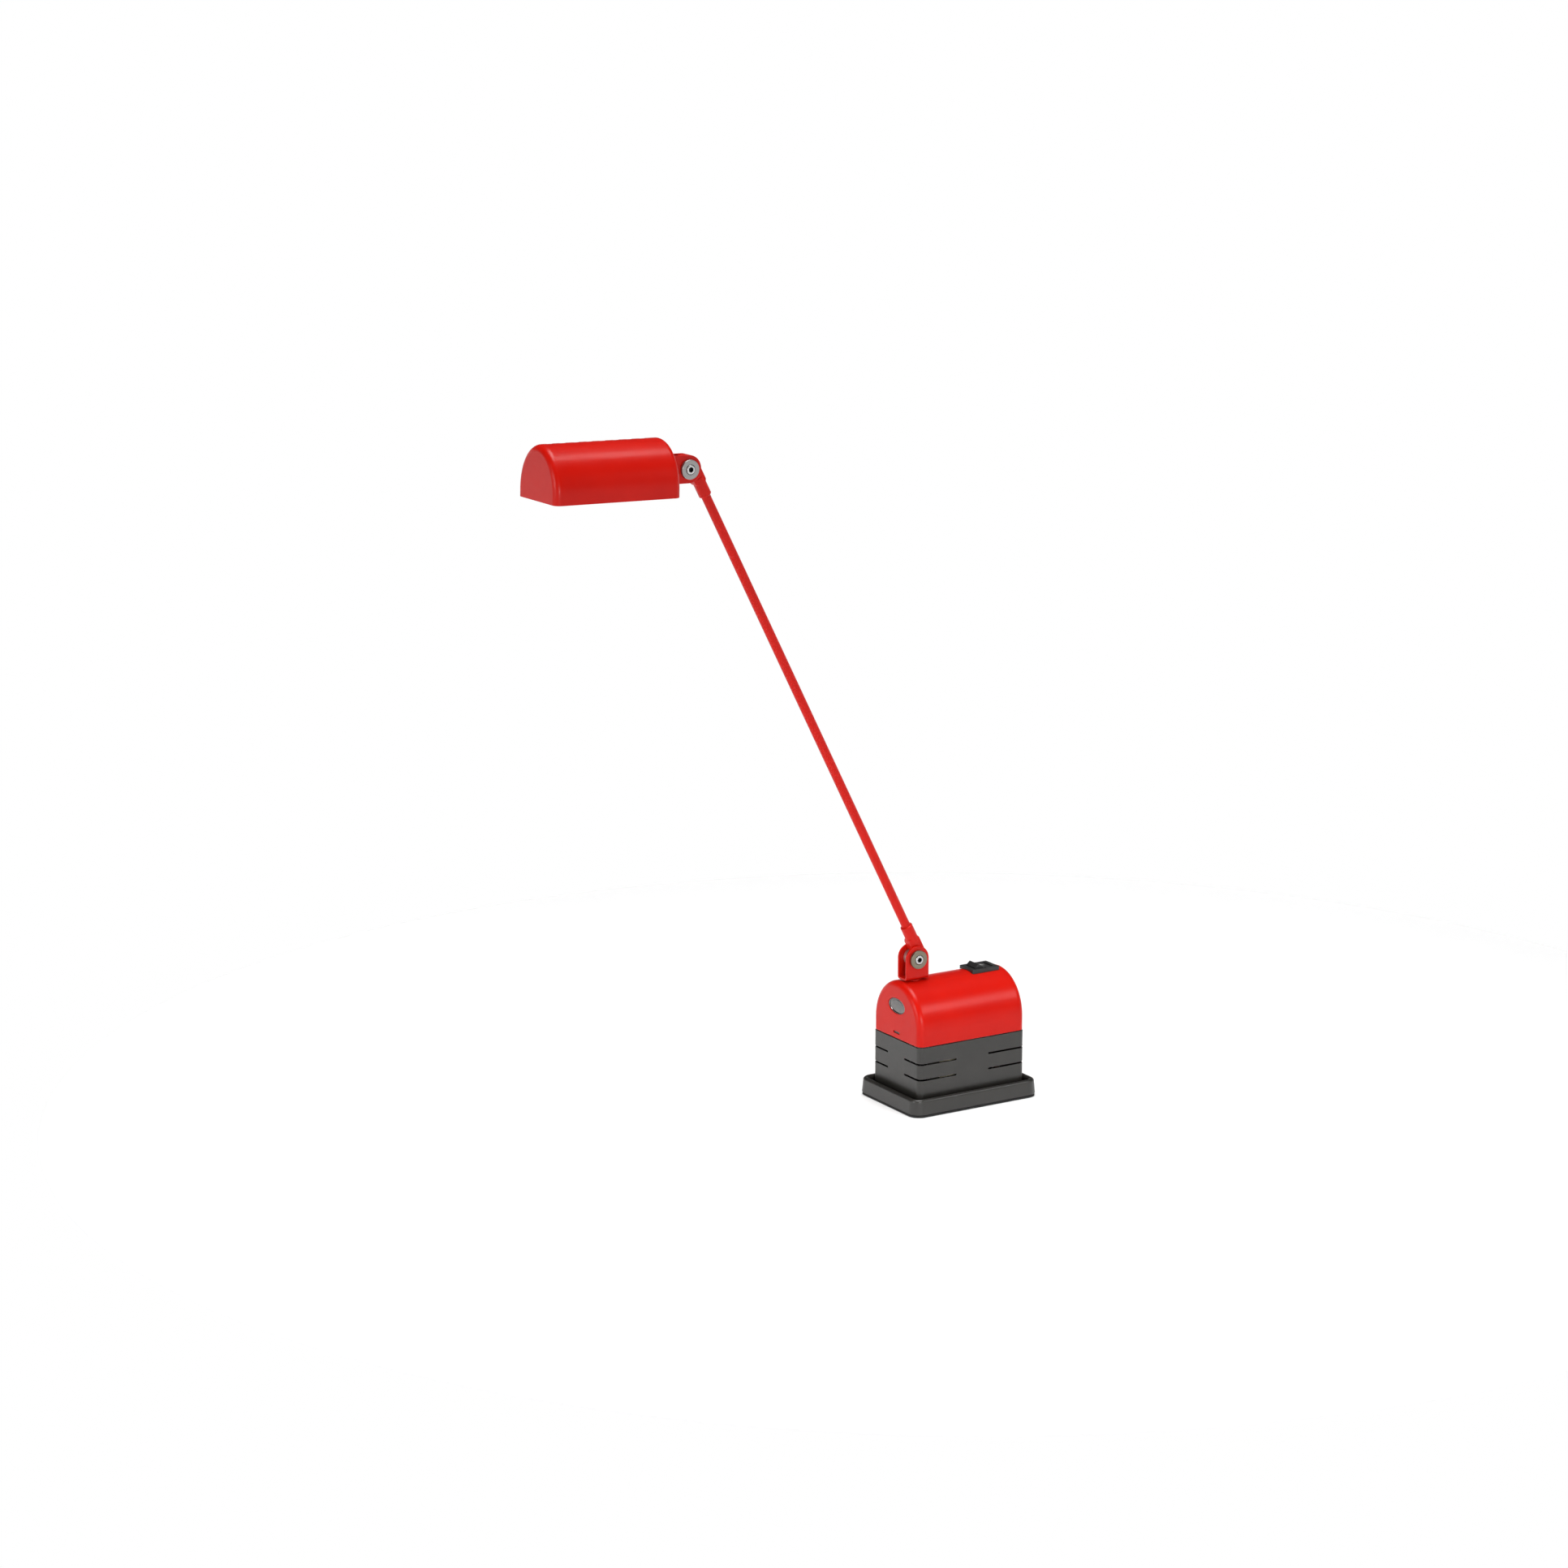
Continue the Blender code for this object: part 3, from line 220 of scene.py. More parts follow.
LOWER_BOLT = joint_point("arm_tilt")
UPPER_BOLT = joint_point("head_tilt")
ARM_REACH = (UPPER_BOLT - LOWER_BOLT).length
AT_LOWER_BOLT = Matrix.Translation(LOWER_BOLT)
AT_ARM = AT_LOWER_BOLT @ Vector((0, 0, 1)).rotation_difference(UPPER_BOLT - LOWER_BOLT).to_matrix().to_4x4()
AT_HEAD = frame_at(UPPER_BOLT, JOINTS["head_roll"]["axis"])
AT_UPPER_BOLT = AT_HEAD @ AXIS_TO_X


# Outlines, as lists of (x, y) points, counterclockwise


def arc(centre, radius, start, end, steps):
    angles = [math.radians(start + (end - start) * i / steps) for i in range(steps + 1)]
    return [(centre[0] + radius * math.cos(a), centre[1] + radius * math.sin(a)) for a in angles]


def oval(width, height, steps=ROUND_STEPS):
    turns = [2 * math.pi * i / steps for i in range(steps)]
    return [(width / 2 * math.cos(t), height / 2 * math.sin(t)) for t in turns]


def circle(radius, steps):
    return oval(2 * radius, 2 * radius, steps)


def rounded_rectangle(length, width, corner):
    x = length / 2 - corner
    y = width / 2 - corner
    corners = ((x, y, 0), (-x, y, 90), (-x, -y, 180), (x, -y, 270))
    return [p for cx, cy, turn in corners for p in arc((cx, cy), corner, turn, turn + 90, CORNER_STEPS)]


def arch(half_width, bottom, spring, top, inset=0.0):
    """Straight sides up to `spring`, then half an ellipse, all of it drawn in by `inset` but below."""
    width = half_width - inset
    rise = top - inset - spring
    angles = [math.pi * i / ARCH_STEPS for i in range(ARCH_STEPS + 1)]
    curve = [(width * math.cos(a), spring + rise * math.sin(a)) for a in angles]
    return [(width, bottom), *curve, (-width, bottom)]


# Meshes


def loft(rings, closed=False):
    """Skins rings of equal length, and caps both ends unless the last ring joins the first."""
    bm = bmesh.new()
    loops = [[bm.verts.new(point) for point in ring] for ring in rings]
    pairs = list(zip(loops, loops[1:]))
    if closed:
        pairs.append((loops[-1], loops[0]))
    for first, second in pairs:
        for i in range(len(first)):
            j = (i + 1) % len(first)
            bm.faces.new((first[i], first[j], second[j], second[i]))
    if not closed:
        bm.faces.new(loops[0])
        bm.faces.new(loops[-1])
    return bm


def turned(profile, closed=False, steps=ROUND_STEPS):
    """(radius, height) points spun about Z. No point lies on the axis: the ends are capped flat."""
    return loft([[(x, y, height) for x, y in circle(radius, steps)] for radius, height in profile], closed)


def round_hole(radius, low, high):
    """A cutter for a hole along Z."""
    return turned([(radius, low), (radius, high)])


def pan(length, width, corner, profile):
    """A profile of (inset, height) points carried round a rounded rectangle, and capped at both ends."""
    rings = []
    for inset, height in profile:
        ring = rounded_rectangle(length - 2 * inset, width - 2 * inset, max(corner - inset, GAP))
        rings.append([(x, y, height) for x, y in ring])
    return loft(rings)


def prism(outline, bottom, top):
    return loft([[(x, y, z) for x, y in outline] for z in (bottom, top)])


def block(low, high, corner=0.0, steps=4):
    """A box between two corners, with rounded edges where a corner radius is given."""
    low, high = Vector(low), Vector(high)
    bm = bmesh.new()
    size = Matrix.Diagonal((*(high - low), 1))
    bmesh.ops.create_cube(bm, size=1, matrix=Matrix.Translation((low + high) / 2) @ size)
    if corner:
        bmesh.ops.bevel(bm, geom=bm.edges, offset=corner, segments=steps, profile=0.5, affect="EDGES")
    return bm


def arched_shell(half_width, bottom, spring, top, length, wall, end_round):
    """An arched cover along X, closed at both rounded ends and open below."""

    def skin(bm, inset, round_radius):
        stations = []
        half = length / 2 - inset
        for i in range(END_ROUND_STEPS + 1):
            angle = math.pi / 2 * i / END_ROUND_STEPS
            x = half - round_radius * (1 - math.cos(angle))
            stations.append((x, inset + round_radius * (1 - math.sin(angle))))
        stations += [(-x, drawn_in) for x, drawn_in in reversed(stations)]
        loops = []
        for x, drawn_in in stations:
            outline = arch(half_width, bottom, spring, top, drawn_in)
            loops.append([bm.verts.new((x, y, z)) for y, z in outline])
        for first, second in zip(loops, loops[1:]):
            for i in range(len(first) - 1):
                bm.faces.new((first[i], first[i + 1], second[i + 1], second[i]))
        bm.faces.new(loops[0])
        bm.faces.new(loops[-1])
        return loops

    bm = bmesh.new()
    outer = skin(bm, 0, end_round)
    inner = skin(bm, wall, end_round - wall)
    for end in (0, -1):
        for i in range(len(outer) - 1):
            bm.faces.new((outer[i][end], outer[i + 1][end], inner[i + 1][end], inner[i][end]))
        bm.faces.new((outer[end][0], outer[end][-1], inner[end][-1], inner[end][0]))
    return bm


# Objects


def make(name, bm, place=Matrix()):
    bmesh.ops.recalc_face_normals(bm, faces=bm.faces)
    mesh = bpy.data.meshes.new(name)
    bm.to_mesh(mesh)
    bm.free()
    mesh.transform(place)
    obj = bpy.data.objects.new(name, mesh)
    bpy.context.scene.collection.objects.link(obj)
    return obj


def settle(obj):
    """Replaces an object's mesh by what its modifiers make of it."""
    graph = bpy.context.evaluated_depsgraph_get()
    mesh = bpy.data.meshes.new_from_object(obj.evaluated_get(graph))
    obj.modifiers.clear()
    obj.data = mesh
    return obj


def combine(obj, operation, *others):
    """Boolean of an object with others, which it uses up."""
    for other in others:
        modifier = obj.modifiers.new(operation.lower(), "BOOLEAN")
        modifier.operation = operation
        modifier.solver = "EXACT"
        modifier.object = other
    settle(obj)
    for other in others:
        bpy.data.objects.remove(other)
    return obj


def cut(obj, *meshes, place=Matrix()):
    return combine(obj, "DIFFERENCE", *[make("cutter", bm, place) for bm in meshes])


def ease(obj, width, segments, angle):
    """Rounds the edges that are sharper than an angle."""
    modifier = obj.modifiers.new("ease", "BEVEL")
    modifier.width = width
    modifier.segments = segments
    modifier.limit_method = "ANGLE"
    modifier.angle_limit = math.radians(angle)
    modifier.use_clamp_overlap = False
    return settle(obj)


def show(obj, node, material):
    """Lets a piece stand for a CAD node: it rides on that node's body and takes the given finish."""
    obj.name = f"{node}_skin"
    obj.data.name = obj.name
    obj.data.materials.clear()
    obj.data.materials.append(material)
    obj.data.shade_smooth()
    obj.data.set_sharp_from_angle(angle=math.radians(SHARP_ANGLE))
    normals = obj.modifiers.new("normals", "WEIGHTED_NORMAL")
    normals.keep_sharp = True
    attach(obj, BODY_OF[node])
    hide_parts(node)
    return obj


# Finishes. Every one is made of nodes on object coordinates, which are the row frame's metres


class Finish:
    """A Principled material and a few ways to vary it."""

    def __init__(self, name, colour, roughness, metallic=0.0):
        self.material = bpy.data.materials.new(name)
        self.material.use_nodes = True
        self.tree = self.material.node_tree
        self.shader = self.tree.nodes["Principled BSDF"]
        self.colour = (*colour, 1)
        self.set("Base Color", self.colour)
        self.set("Roughness", roughness)
        self.set("Metallic", metallic)
        self.roughness = roughness
        self.place = self.add("ShaderNodeTexCoord").outputs["Object"]

    def add(self, kind, inputs=(), **settings):
        node = self.tree.nodes.new(kind)
        for key, value in settings.items():
            setattr(node, key, value)
        for key, value in dict(inputs).items():
            if isinstance(value, bpy.types.NodeSocket):
                self.tree.links.new(value, node.inputs[key])
            else:
                node.inputs[key].default_value = value
        return node

    def set(self, key, value):
        self.shader.inputs[key].default_value = value

    def link(self, output, key):
        self.tree.links.new(output, self.shader.inputs[key])

    def stretched(self, scale):
        """Object coordinates scaled along each axis, so that a pattern runs along the short one."""
        return self.add("ShaderNodeMapping", {"Vector": self.place, "Scale": scale}).outputs["Vector"]

    def noise(self, scale, detail=2.0, vector=None):
        inputs = {"Vector": vector or self.place, "Scale": scale, "Detail": detail, "Roughness": 0.55}
        return self.add("ShaderNodeTexNoise", inputs).outputs["Fac"]

    def spread(self, value, low, high, start=0.3, end=0.7):
        inputs = {"Value": value, "From Min": start, "From Max": end, "To Min": low, "To Max": high}
        return self.add("ShaderNodeMapRange", inputs).outputs["Result"]

    def math(self, operation, first, second=0.0):
        return self.add("ShaderNodeMath", {0: first, 1: second}, operation=operation).outputs["Value"]

    def mix(self, factor, first, second):
        inputs = {"Factor": factor, "A": first, "B": second}
        node = self.add("ShaderNodeMix", data_type="RGBA")
        for key, value in inputs.items():
            socket = next(s for s in node.inputs if s.name == key and s.enabled)
            if isinstance(value, bpy.types.NodeSocket):
                self.tree.links.new(value, socket)
            else:
                socket.default_value = value
        return next(s for s in node.outputs if s.enabled)

    def mottle(self, scale, other):
        """Lets the colour drift towards another one."""
        drift = self.spread(self.noise(scale, 3), 0.0, 1.0)
        self.colour = self.mix(drift, self.colour, (*other, 1))
        self.link(self.colour, "Base Color")

    def vary_roughness(self, scale, amount, vector=None):
        change = self.noise(scale, 3, vector)
        self.link(self.spread(change, self.roughness - amount, self.roughness + amount), "Roughness")

    def bump(self, height, distance, strength):
        before = self.shader.inputs["Normal"].links
        inputs = {"Height": height, "Distance": distance, "Strength": strength}
        if before:
            inputs["Normal"] = before[0].from_socket
        self.link(self.add("ShaderNodeBump", inputs).outputs["Normal"], "Normal")

    def worn_edges(self, other, radius, amount):
        """Lightens the edges, where the rounded normal turns away from the face's own."""
        rounded = self.add("ShaderNodeBevel", {"Radius": radius}, samples=4).outputs["Normal"]
        flat = self.add("ShaderNodeNewGeometry").outputs["Normal"]
        alike = self.add("ShaderNodeVectorMath", {0: rounded, 1: flat}, operation="DOT_PRODUCT")
        edge = self.spread(alike.outputs["Value"], amount, 0.0, 0.80, 0.99)
        broken = self.math("MULTIPLY", edge, self.spread(self.noise(900, 4), 0.0, 1.0, 0.35, 0.65))
        self.colour = self.mix(broken, self.colour, (*other, 1))
        self.link(self.colour, "Base Color")


def red_paint():
    paint = Finish("satin_red_paint", (0.54, 0.0058, 0.001), roughness=0.34)
    paint.mottle(35, (0.50, 0.0045, 0.0008))
    paint.worn_edges((0.62, 0.03, 0.015), radius=0.0005, amount=0.35)
    paint.vary_roughness(160, amount=0.03)
    paint.bump(paint.noise(1100, 1), distance=0.00001, strength=0.5)
    paint.bump(paint.noise(300, 2), distance=0.00002, strength=0.25)
    paint.set("Specular IOR Level", 0.17)
    paint.set("Coat Weight", 0.06)
    paint.set("Coat Roughness", 0.16)
    return paint.material


def black_paint():
    paint = Finish("satin_black_paint", (0.014, 0.013, 0.011), roughness=0.33)
    paint.mottle(50, (0.019, 0.0175, 0.015))
    paint.set("Specular IOR Level", 0.6)
    paint.worn_edges((0.045, 0.042, 0.039), radius=0.0003, amount=0.25)
    paint.vary_roughness(260, amount=0.05)
    paint.bump(paint.noise(2200, 2), distance=0.00004, strength=0.55)
    return paint.material


def black_plastic():
    plastic = Finish("moulded_black_plastic", (0.013, 0.013, 0.013), roughness=0.38)
    plastic.mottle(120, (0.019, 0.019, 0.019))
    plastic.vary_roughness(700, amount=0.08)
    plastic.bump(plastic.noise(5200, 2), distance=0.00003, strength=0.6)
    plastic.worn_edges((0.04, 0.04, 0.04), radius=0.0003, amount=0.25)
    return plastic.material


def rubber():
    finish = Finish("black_rubber", (0.010, 0.010, 0.010), roughness=0.82)
    finish.mottle(90, (0.018, 0.018, 0.017))
    finish.vary_roughness(500, amount=0.08)
    finish.bump(finish.noise(3000, 3), distance=0.00006, strength=0.8)
    return finish.material


def bright_steel():
    steel = Finish("zinc_plated_steel", (0.60, 0.59, 0.57), roughness=0.28, metallic=1.0)
    steel.mottle(300, (0.52, 0.52, 0.52))
    steel.vary_roughness(900, amount=0.09)
    steel.bump(steel.noise(2600, 2), distance=0.00002, strength=0.4)
    steel.worn_edges((0.75, 0.74, 0.72), radius=0.0003, amount=0.5)
    return steel.material


def turned_steel(name, colour, centre):
    """Fine rings round a bolt's axis, which runs along Y."""
    steel = Finish(name, colour, 0.34, 1.0)
    vector = steel.place
    for operation, other in (("SUBTRACT", centre), ("MULTIPLY", (1, 0, 1))):
        step = steel.add("ShaderNodeVectorMath", {0: vector, 1: other}, operation=operation)
        vector = step.outputs["Vector"]
    radius = steel.add("ShaderNodeVectorMath", {0: vector}, operation="LENGTH").outputs["Value"]
    rings = steel.add("ShaderNodeTexNoise", {"W": radius, "Scale": 9000, "Detail": 3}, noise_dimensions="1D")
    ring = rings.outputs["Fac"]
    steel.link(steel.spread(ring, 0.26, 0.44), "Roughness")
    darker = tuple(0.8 * c for c in colour)
    steel.colour = steel.mix(steel.spread(ring, 0.0, 1.0), steel.colour, (*darker, 1))
    steel.link(steel.colour, "Base Color")
    steel.bump(ring, distance=0.00002, strength=0.5)
    return steel.material


def bolt_steel():
    """Bright on the faces, with painted shade down in the socket and round the head's sides, where the steel goes
    dark with depth below the head's face.
    """
    head_top = BRACKET_WIDTH / 2 + GAP + DISC_THICKNESS + BOLT_PROUD
    # depths below the head's face over which the painted shade fades in
    shade_start, shade_end = head_top - 0.0009, head_top - 0.0004
    steel = Finish("bolt_steel", (0.62, 0.61, 0.60), roughness=0.30, metallic=1.0)
    steel.mottle(300, (0.54, 0.54, 0.54))
    across = steel.add("ShaderNodeSeparateXYZ", {"Vector": steel.place}).outputs["Y"]
    depth = steel.math("ABSOLUTE", across)
    # painted shade: the colour goes near black with depth below the head's face, in the socket and round the
    # head's sides
    painted_shade = steel.spread(depth, 1.0, 0.0, shade_start, shade_end)
    steel.colour = steel.mix(painted_shade, steel.colour, (0.015, 0.015, 0.015, 1))
    steel.link(steel.colour, "Base Color")
    steel.vary_roughness(900, amount=0.08)
    steel.bump(steel.noise(2600, 2), distance=0.00001, strength=0.4)
    return steel.material


def dark_chrome():
    chrome = Finish("dark_chrome", (0.15, 0.145, 0.145), roughness=0.12, metallic=1.0)
    chrome.mottle(260, (0.20, 0.195, 0.19))
    chrome.vary_roughness(600, amount=0.05)
    chrome.bump(chrome.noise(700, 2), distance=0.00002, strength=0.3)
    return chrome.material


def core_steel():
    """Stacked steel sheets, seen as fine lines across Y, with a little varnish."""
    steel = Finish("laminated_core", (0.30, 0.29, 0.27), roughness=0.42, metallic=0.9)
    lines = steel.noise(1.0, 1, steel.stretched((40, 2600, 40)))
    steel.colour = steel.mix(steel.spread(lines, 0.0, 1.0), steel.colour, (0.16, 0.15, 0.14, 1))
    steel.link(steel.colour, "Base Color")
    steel.vary_roughness(300, amount=0.08)
    steel.bump(lines, distance=0.00008, strength=0.8)
    return steel.material


def winding_tape():
    """Insulating tape in level turns."""
    tape = Finish("winding_tape", (0.74, 0.68, 0.52), roughness=0.42)
    turns = tape.noise(1.0, 1, tape.stretched((30, 30, 900)))
    tape.colour = tape.mix(tape.spread(turns, 0.0, 1.0), tape.colour, (0.62, 0.56, 0.42, 1))
    tape.link(tape.colour, "Base Color")
    tape.vary_roughness(400, amount=0.08)
    tape.bump(turns, distance=0.0001, strength=0.6)
    return tape.material


def white_plastic():
    plastic = Finish("moulded_white_plastic", (0.72, 0.70, 0.65), roughness=0.45)
    plastic.mottle(140, (0.66, 0.64, 0.59))
    plastic.vary_roughness(500, amount=0.07)
    plastic.bump(plastic.noise(3600, 2), distance=0.00003, strength=0.5)
    return plastic.material


def cable_sheath():
    sheath = Finish("cable_sheath", (0.03, 0.03, 0.03), roughness=0.55)
    sheath.mottle(220, (0.045, 0.045, 0.045))
    sheath.vary_roughness(600, amount=0.08)
    sheath.bump(sheath.noise(2600, 2), distance=0.00004, strength=0.5)
    return sheath.material


def bright_aluminium():
    """Anodised sheet with a faint grain along the head."""
    metal = Finish("anodised_aluminium", (0.83, 0.83, 0.84), roughness=0.20, metallic=1.0)
    metal.mottle(120, (0.76, 0.76, 0.78))
    metal.vary_roughness(1.0, 0.06, metal.stretched((60, 2600, 2600)))
    metal.bump(metal.noise(1.0, 2, metal.stretched((50, 2400, 2400))), distance=0.00002, strength=0.4)
    return metal.material


def ceramic():
    body = Finish("white_ceramic", (0.80, 0.78, 0.72), roughness=0.55)
    body.mottle(160, (0.72, 0.70, 0.63))
    body.vary_roughness(800, amount=0.1)
    body.bump(body.noise(2400, 4), distance=0.00006, strength=0.6)
    return body.material


def quartz_glass():
    glass = Finish("quartz_glass", (0.96, 0.98, 0.98), roughness=0.06)
    glass.set("Transmission Weight", 0.92)
    glass.set("IOR", 1.46)
    glass.mottle(200, (0.90, 0.93, 0.94))
    glass.vary_roughness(300, amount=0.04)
    glass.bump(glass.noise(260, 2), distance=0.00005, strength=0.3)
    return glass.material


def mark_paint():
    ink = Finish("white_mark", (0.75, 0.75, 0.73), roughness=0.5)
    ink.mottle(900, (0.55, 0.55, 0.54))
    ink.vary_roughness(900, amount=0.08)
    ink.bump(ink.noise(4000, 2), distance=0.00002, strength=0.4)
    return ink.material


RED = red_paint()
BLACK_PAINT = black_paint()
BLACK_PLASTIC = black_plastic()
MARK = mark_paint()
STEEL = bright_steel()
BOLT_STEEL = bolt_steel()
DRUM_STEEL = turned_steel("drum_steel", (0.78, 0.76, 0.73), LOWER_BOLT)
LOWER_STEEL = turned_steel("lower_turned_steel", (0.25, 0.22, 0.165), LOWER_BOLT)
UPPER_STEEL = turned_steel("upper_turned_steel", (0.38, 0.37, 0.36), UPPER_BOLT)
SLOT_FINISH = {
    "red_paint": RED,
    "black_steel": BLACK_PAINT,
    "rubber": rubber(),
    "dark_chrome": dark_chrome(),
    "bright_steel": STEEL,
    "friction_discs": LOWER_STEEL,
    "core_steel": core_steel(),
    "winding_tape": winding_tape(),
    "white_plastic": white_plastic(),
    "black_plastic": BLACK_PLASTIC,
    "cable": cable_sheath(),
    "reflector_aluminium": bright_aluminium(),
    "ceramic": ceramic(),
    "glass": quartz_glass(),
}


def show_as_is(obj, node):
    return show(obj, node, SLOT_FINISH[SLOT_OF[node]])


# Base


def middle(node):
    low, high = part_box(node)
    return (low + high) / 2


def drill_for_base_screws(obj, radius, floor):
    """Four holes through the sheet that starts at this height."""
    for number in range(1, 5):
        at = middle(f"base_screw_{number}")
        hole = round_hole(radius, floor - OVERCUT, floor + OVERCUT)
        cut(obj, hole, place=Matrix.Translation((at.x, at.y, 0)))


def make_mat():
    """A flat sheet with soft edges."""
    low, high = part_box("base_mat")
    edge = 0.0005
    soft = 0.00015
    flat = 0.0045
    profile = [
        (flat, low.z),
        (edge, low.z),
        (soft, low.z + soft),
        (0, low.z + edge),
        (0, high.z - edge),
        (soft, high.z - soft),
        (edge, high.z),
        (flat, high.z),
    ]
    mat = make("mat", pan(high.x - low.x, high.y - low.y, TRAY_CORNER - MAT_INSET, profile))
    drill_for_base_screws(mat, MAT_SCREW_HOLE, low.z)
    show_as_is(mat, "base_mat")


def make_tray():
    """A pressed pan whose walls lean in a little under a rolled rim."""
    low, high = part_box("base_tray")
    rim_z = high.z - TRAY_RIM
    inner = TRAY_TAPER + TRAY_SHEET
    floor = low.z + TRAY_SHEET
    profile = [
        (SHEET_FLAT, low.z),
        *arc((TRAY_BEND, low.z + TRAY_BEND), TRAY_BEND, 270, 180, 6),
        *arc((TRAY_TAPER + TRAY_RIM, rim_z), TRAY_RIM, 180, TRAY_CURL, 36),
        (inner, rim_z - TRAY_RIM),
        *arc((inner + TRAY_BEND, floor + TRAY_BEND), TRAY_BEND, 180, 270, 6),
        (1.5 * SHEET_FLAT, floor),
    ]
    tray = make("tray", pan(high.x - low.x, high.y - low.y, TRAY_CORNER, profile))
    drill_for_base_screws(tray, SCREW_HOLE, low.z)
    show_as_is(tray, "base_tray")


def make_box():
    """The vented box: pressed from sheet, with rounded bends and a folded top edge."""
    low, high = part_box("lower_housing")
    length, width = high.x - low.x, high.y - low.y
    hem = SHEET / 2
    inner_bend = 0.001
    profile = [
        (SHEET_FLAT, low.z),
        *arc((BOX_BEND, low.z + BOX_BEND), BOX_BEND, 270, 180, 8),
        *arc((hem, high.z - hem), hem, 180, 0, 8),
        *arc((SHEET + inner_bend, low.z + SHEET + inner_bend), inner_bend, 180, 270, 5),
        (SHEET_FLAT, low.z + SHEET),
    ]
    box = make("box", pan(length, width, BOX_CORNER, profile))
    slots = []
    for level in SLOT_LEVELS:
        for sx in (-1, 1):
            for sy in (-1, 1):
                near = (sx * (length / 2 - SLOT_ALONG_SIDE), sy * (width / 2 - SLOT_ALONG_END))
                far = (sx * (length / 2 + OVERCUT), sy * (width / 2 + OVERCUT))
                (x_low, x_high), (y_low, y_high) = [sorted(pair) for pair in zip(near, far)]
                slot_low = (x_low, y_low, level - SLOT_HEIGHT / 2)
                slot_high = (x_high, y_high, level + SLOT_HEIGHT / 2)
                slots.append(block(slot_low, slot_high, SLOT_CORNER))
    cut(box, *slots)
    gland = middle("cable_gland")
    gland_hole = round_hole(GLAND_NECK + GAP, -OVERCUT, OVERCUT)
    cut(box, gland_hole, place=Matrix.Translation((high.x, gland.y, gland.z)) @ AXIS_TO_X)
    drill_for_base_screws(box, SCREW_HOLE, low.z)
    show_as_is(box, "lower_housing")


def make_gland():
    """A snap-in bush: a flange and a rounded mouth outside the wall, and a tapered catch behind it."""
    low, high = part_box("cable_gland")
    flange = (high.y - low.y) / 2
    flange_edge, flange_face = 0.0006, 0.0025
    mouth, mouth_face = 0.0008, 0.0045
    catch, catch_tip = 0.0064, 0.0052
    catch_start = -SHEET - GAP
    inner_end = -0.005
    soft = 0.0003
    profile = [
        *arc((flange - flange_edge, flange_face - flange_edge), flange_edge, 0, 90, 4),
        *arc((GLAND_BORE + 1.5 * mouth, mouth_face - 1.25 * mouth), mouth, 0, 90, 4),
        *arc((GLAND_BORE + mouth, mouth_face - mouth), mouth, 90, 180, 5),
        (GLAND_BORE, inner_end + 0.0004),
        (GLAND_BORE + soft, inner_end),
        (catch_tip, inner_end),
        (catch, catch_start),
        (GLAND_NECK, catch_start),
        (GLAND_NECK, GAP),
        (flange, GAP),
    ]
    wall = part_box("lower_housing")[1].x
    place = Matrix.Translation((wall, (low.y + high.y) / 2, (low.z + high.z) / 2)) @ AXIS_TO_X
    show_as_is(make("gland", turned(profile, closed=True), place), "cable_gland")


def cover_arch(inset=0.0):
    """The cover's outer outline, from a little under its spring."""
    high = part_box("dome_cover")[1]
    under_spring = 0.001
    return arch(high.y, COVER_SPRING - under_spring, COVER_SPRING, high.z, inset)


def make_cover():
    low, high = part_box("dome_cover")
    length = high.x - low.x
    shell = arched_shell(high.y, low.z, COVER_SPRING, high.z, length, SHEET, COVER_END_ROUND)
    cover = make("cover", shell)
    switch = middle("switch_body")
    half_x = SWITCH_CASE[0] / 2 + GAP
    half_y = SWITCH_CASE[1] / 2 + GAP
    switch_low = (switch.x - half_x, -half_y, COVER_SPRING)
    switch_high = (switch.x + half_x, half_y, high.z + OVERCUT)
    openings = [block(switch_low, switch_high)]
    half_slot, half_tall = LATCH_SLOT[0] / 2, LATCH_SLOT[1] / 2
    for x in (low.x, high.x):
        slot_low = (x - OVERCUT, -half_slot, LATCH_HEIGHT - half_tall)
        slot_high = (x + OVERCUT, half_slot, LATCH_HEIGHT + half_tall)
        openings.append(block(slot_low, slot_high))
    cut(cover, *openings)
    badge_hole = prism(oval(*BADGE_SIZE), -OVERCUT, OVERCUT)
    cut(cover, badge_hole, place=Matrix.Translation((low.x, 0, BADGE_HEIGHT)) @ ALONG_X)
    swivel_hole = round_hole(SCREW_HOLE, -OVERCUT, OVERCUT)
    cut(cover, swivel_hole, place=Matrix.Translation((LOWER_BOLT.x, 0, high.z)))
    ease(cover, SHEET_EDGE, segments=2, angle=60)
    show_as_is(cover, "dome_cover")


def make_badge():
    """A plain oval plate set back in the end of the cover: a low crown inside a groove and a rim."""
    low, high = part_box("end_badge")
    width, tall = BADGE_SIZE[0] - 2 * GAP, BADGE_SIZE[1] - 2 * GAP
    face = high.x - low.x
    groove = face - BADGE_GROOVE
    lip = [(-BADGE_LIP, 0.0), (-BADGE_LIP, BADGE_BACK), (0.0, BADGE_BACK)]
    edge = [(0.0, face - BADGE_EDGE), (BADGE_EDGE, face)]
    rings = []
    for inset, height in (*lip, *edge):
        rings.append([(x, y, height) for x, y in oval(width - 2 * inset, tall - 2 * inset)])
    crown_start = 0.85
    crown_steps = 12
    profile = [(0.93, face), (0.91, face - BADGE_EDGE / 2), (0.89, groove), (crown_start, groove)]
    for i in range(1, crown_steps + 1):
        scale = crown_start * (1 - i / (crown_steps + 0.5))
        rise = math.sqrt(1 - (scale / (crown_start + 0.01)) ** 2)
        profile.append((scale, groove + BADGE_CROWN * rise))
    for scale, height in profile:
        rings.append([(x, y, height) for x, y in oval(width * scale, tall * scale)])
    facing_end = Matrix.Translation((high.x, 0, BADGE_HEIGHT)) @ Matrix.Rotation(math.pi, 4, "Z") @ ALONG_X
    show(make("badge", loft(rings), facing_end), "end_badge", SLOT_FINISH["dark_chrome"])


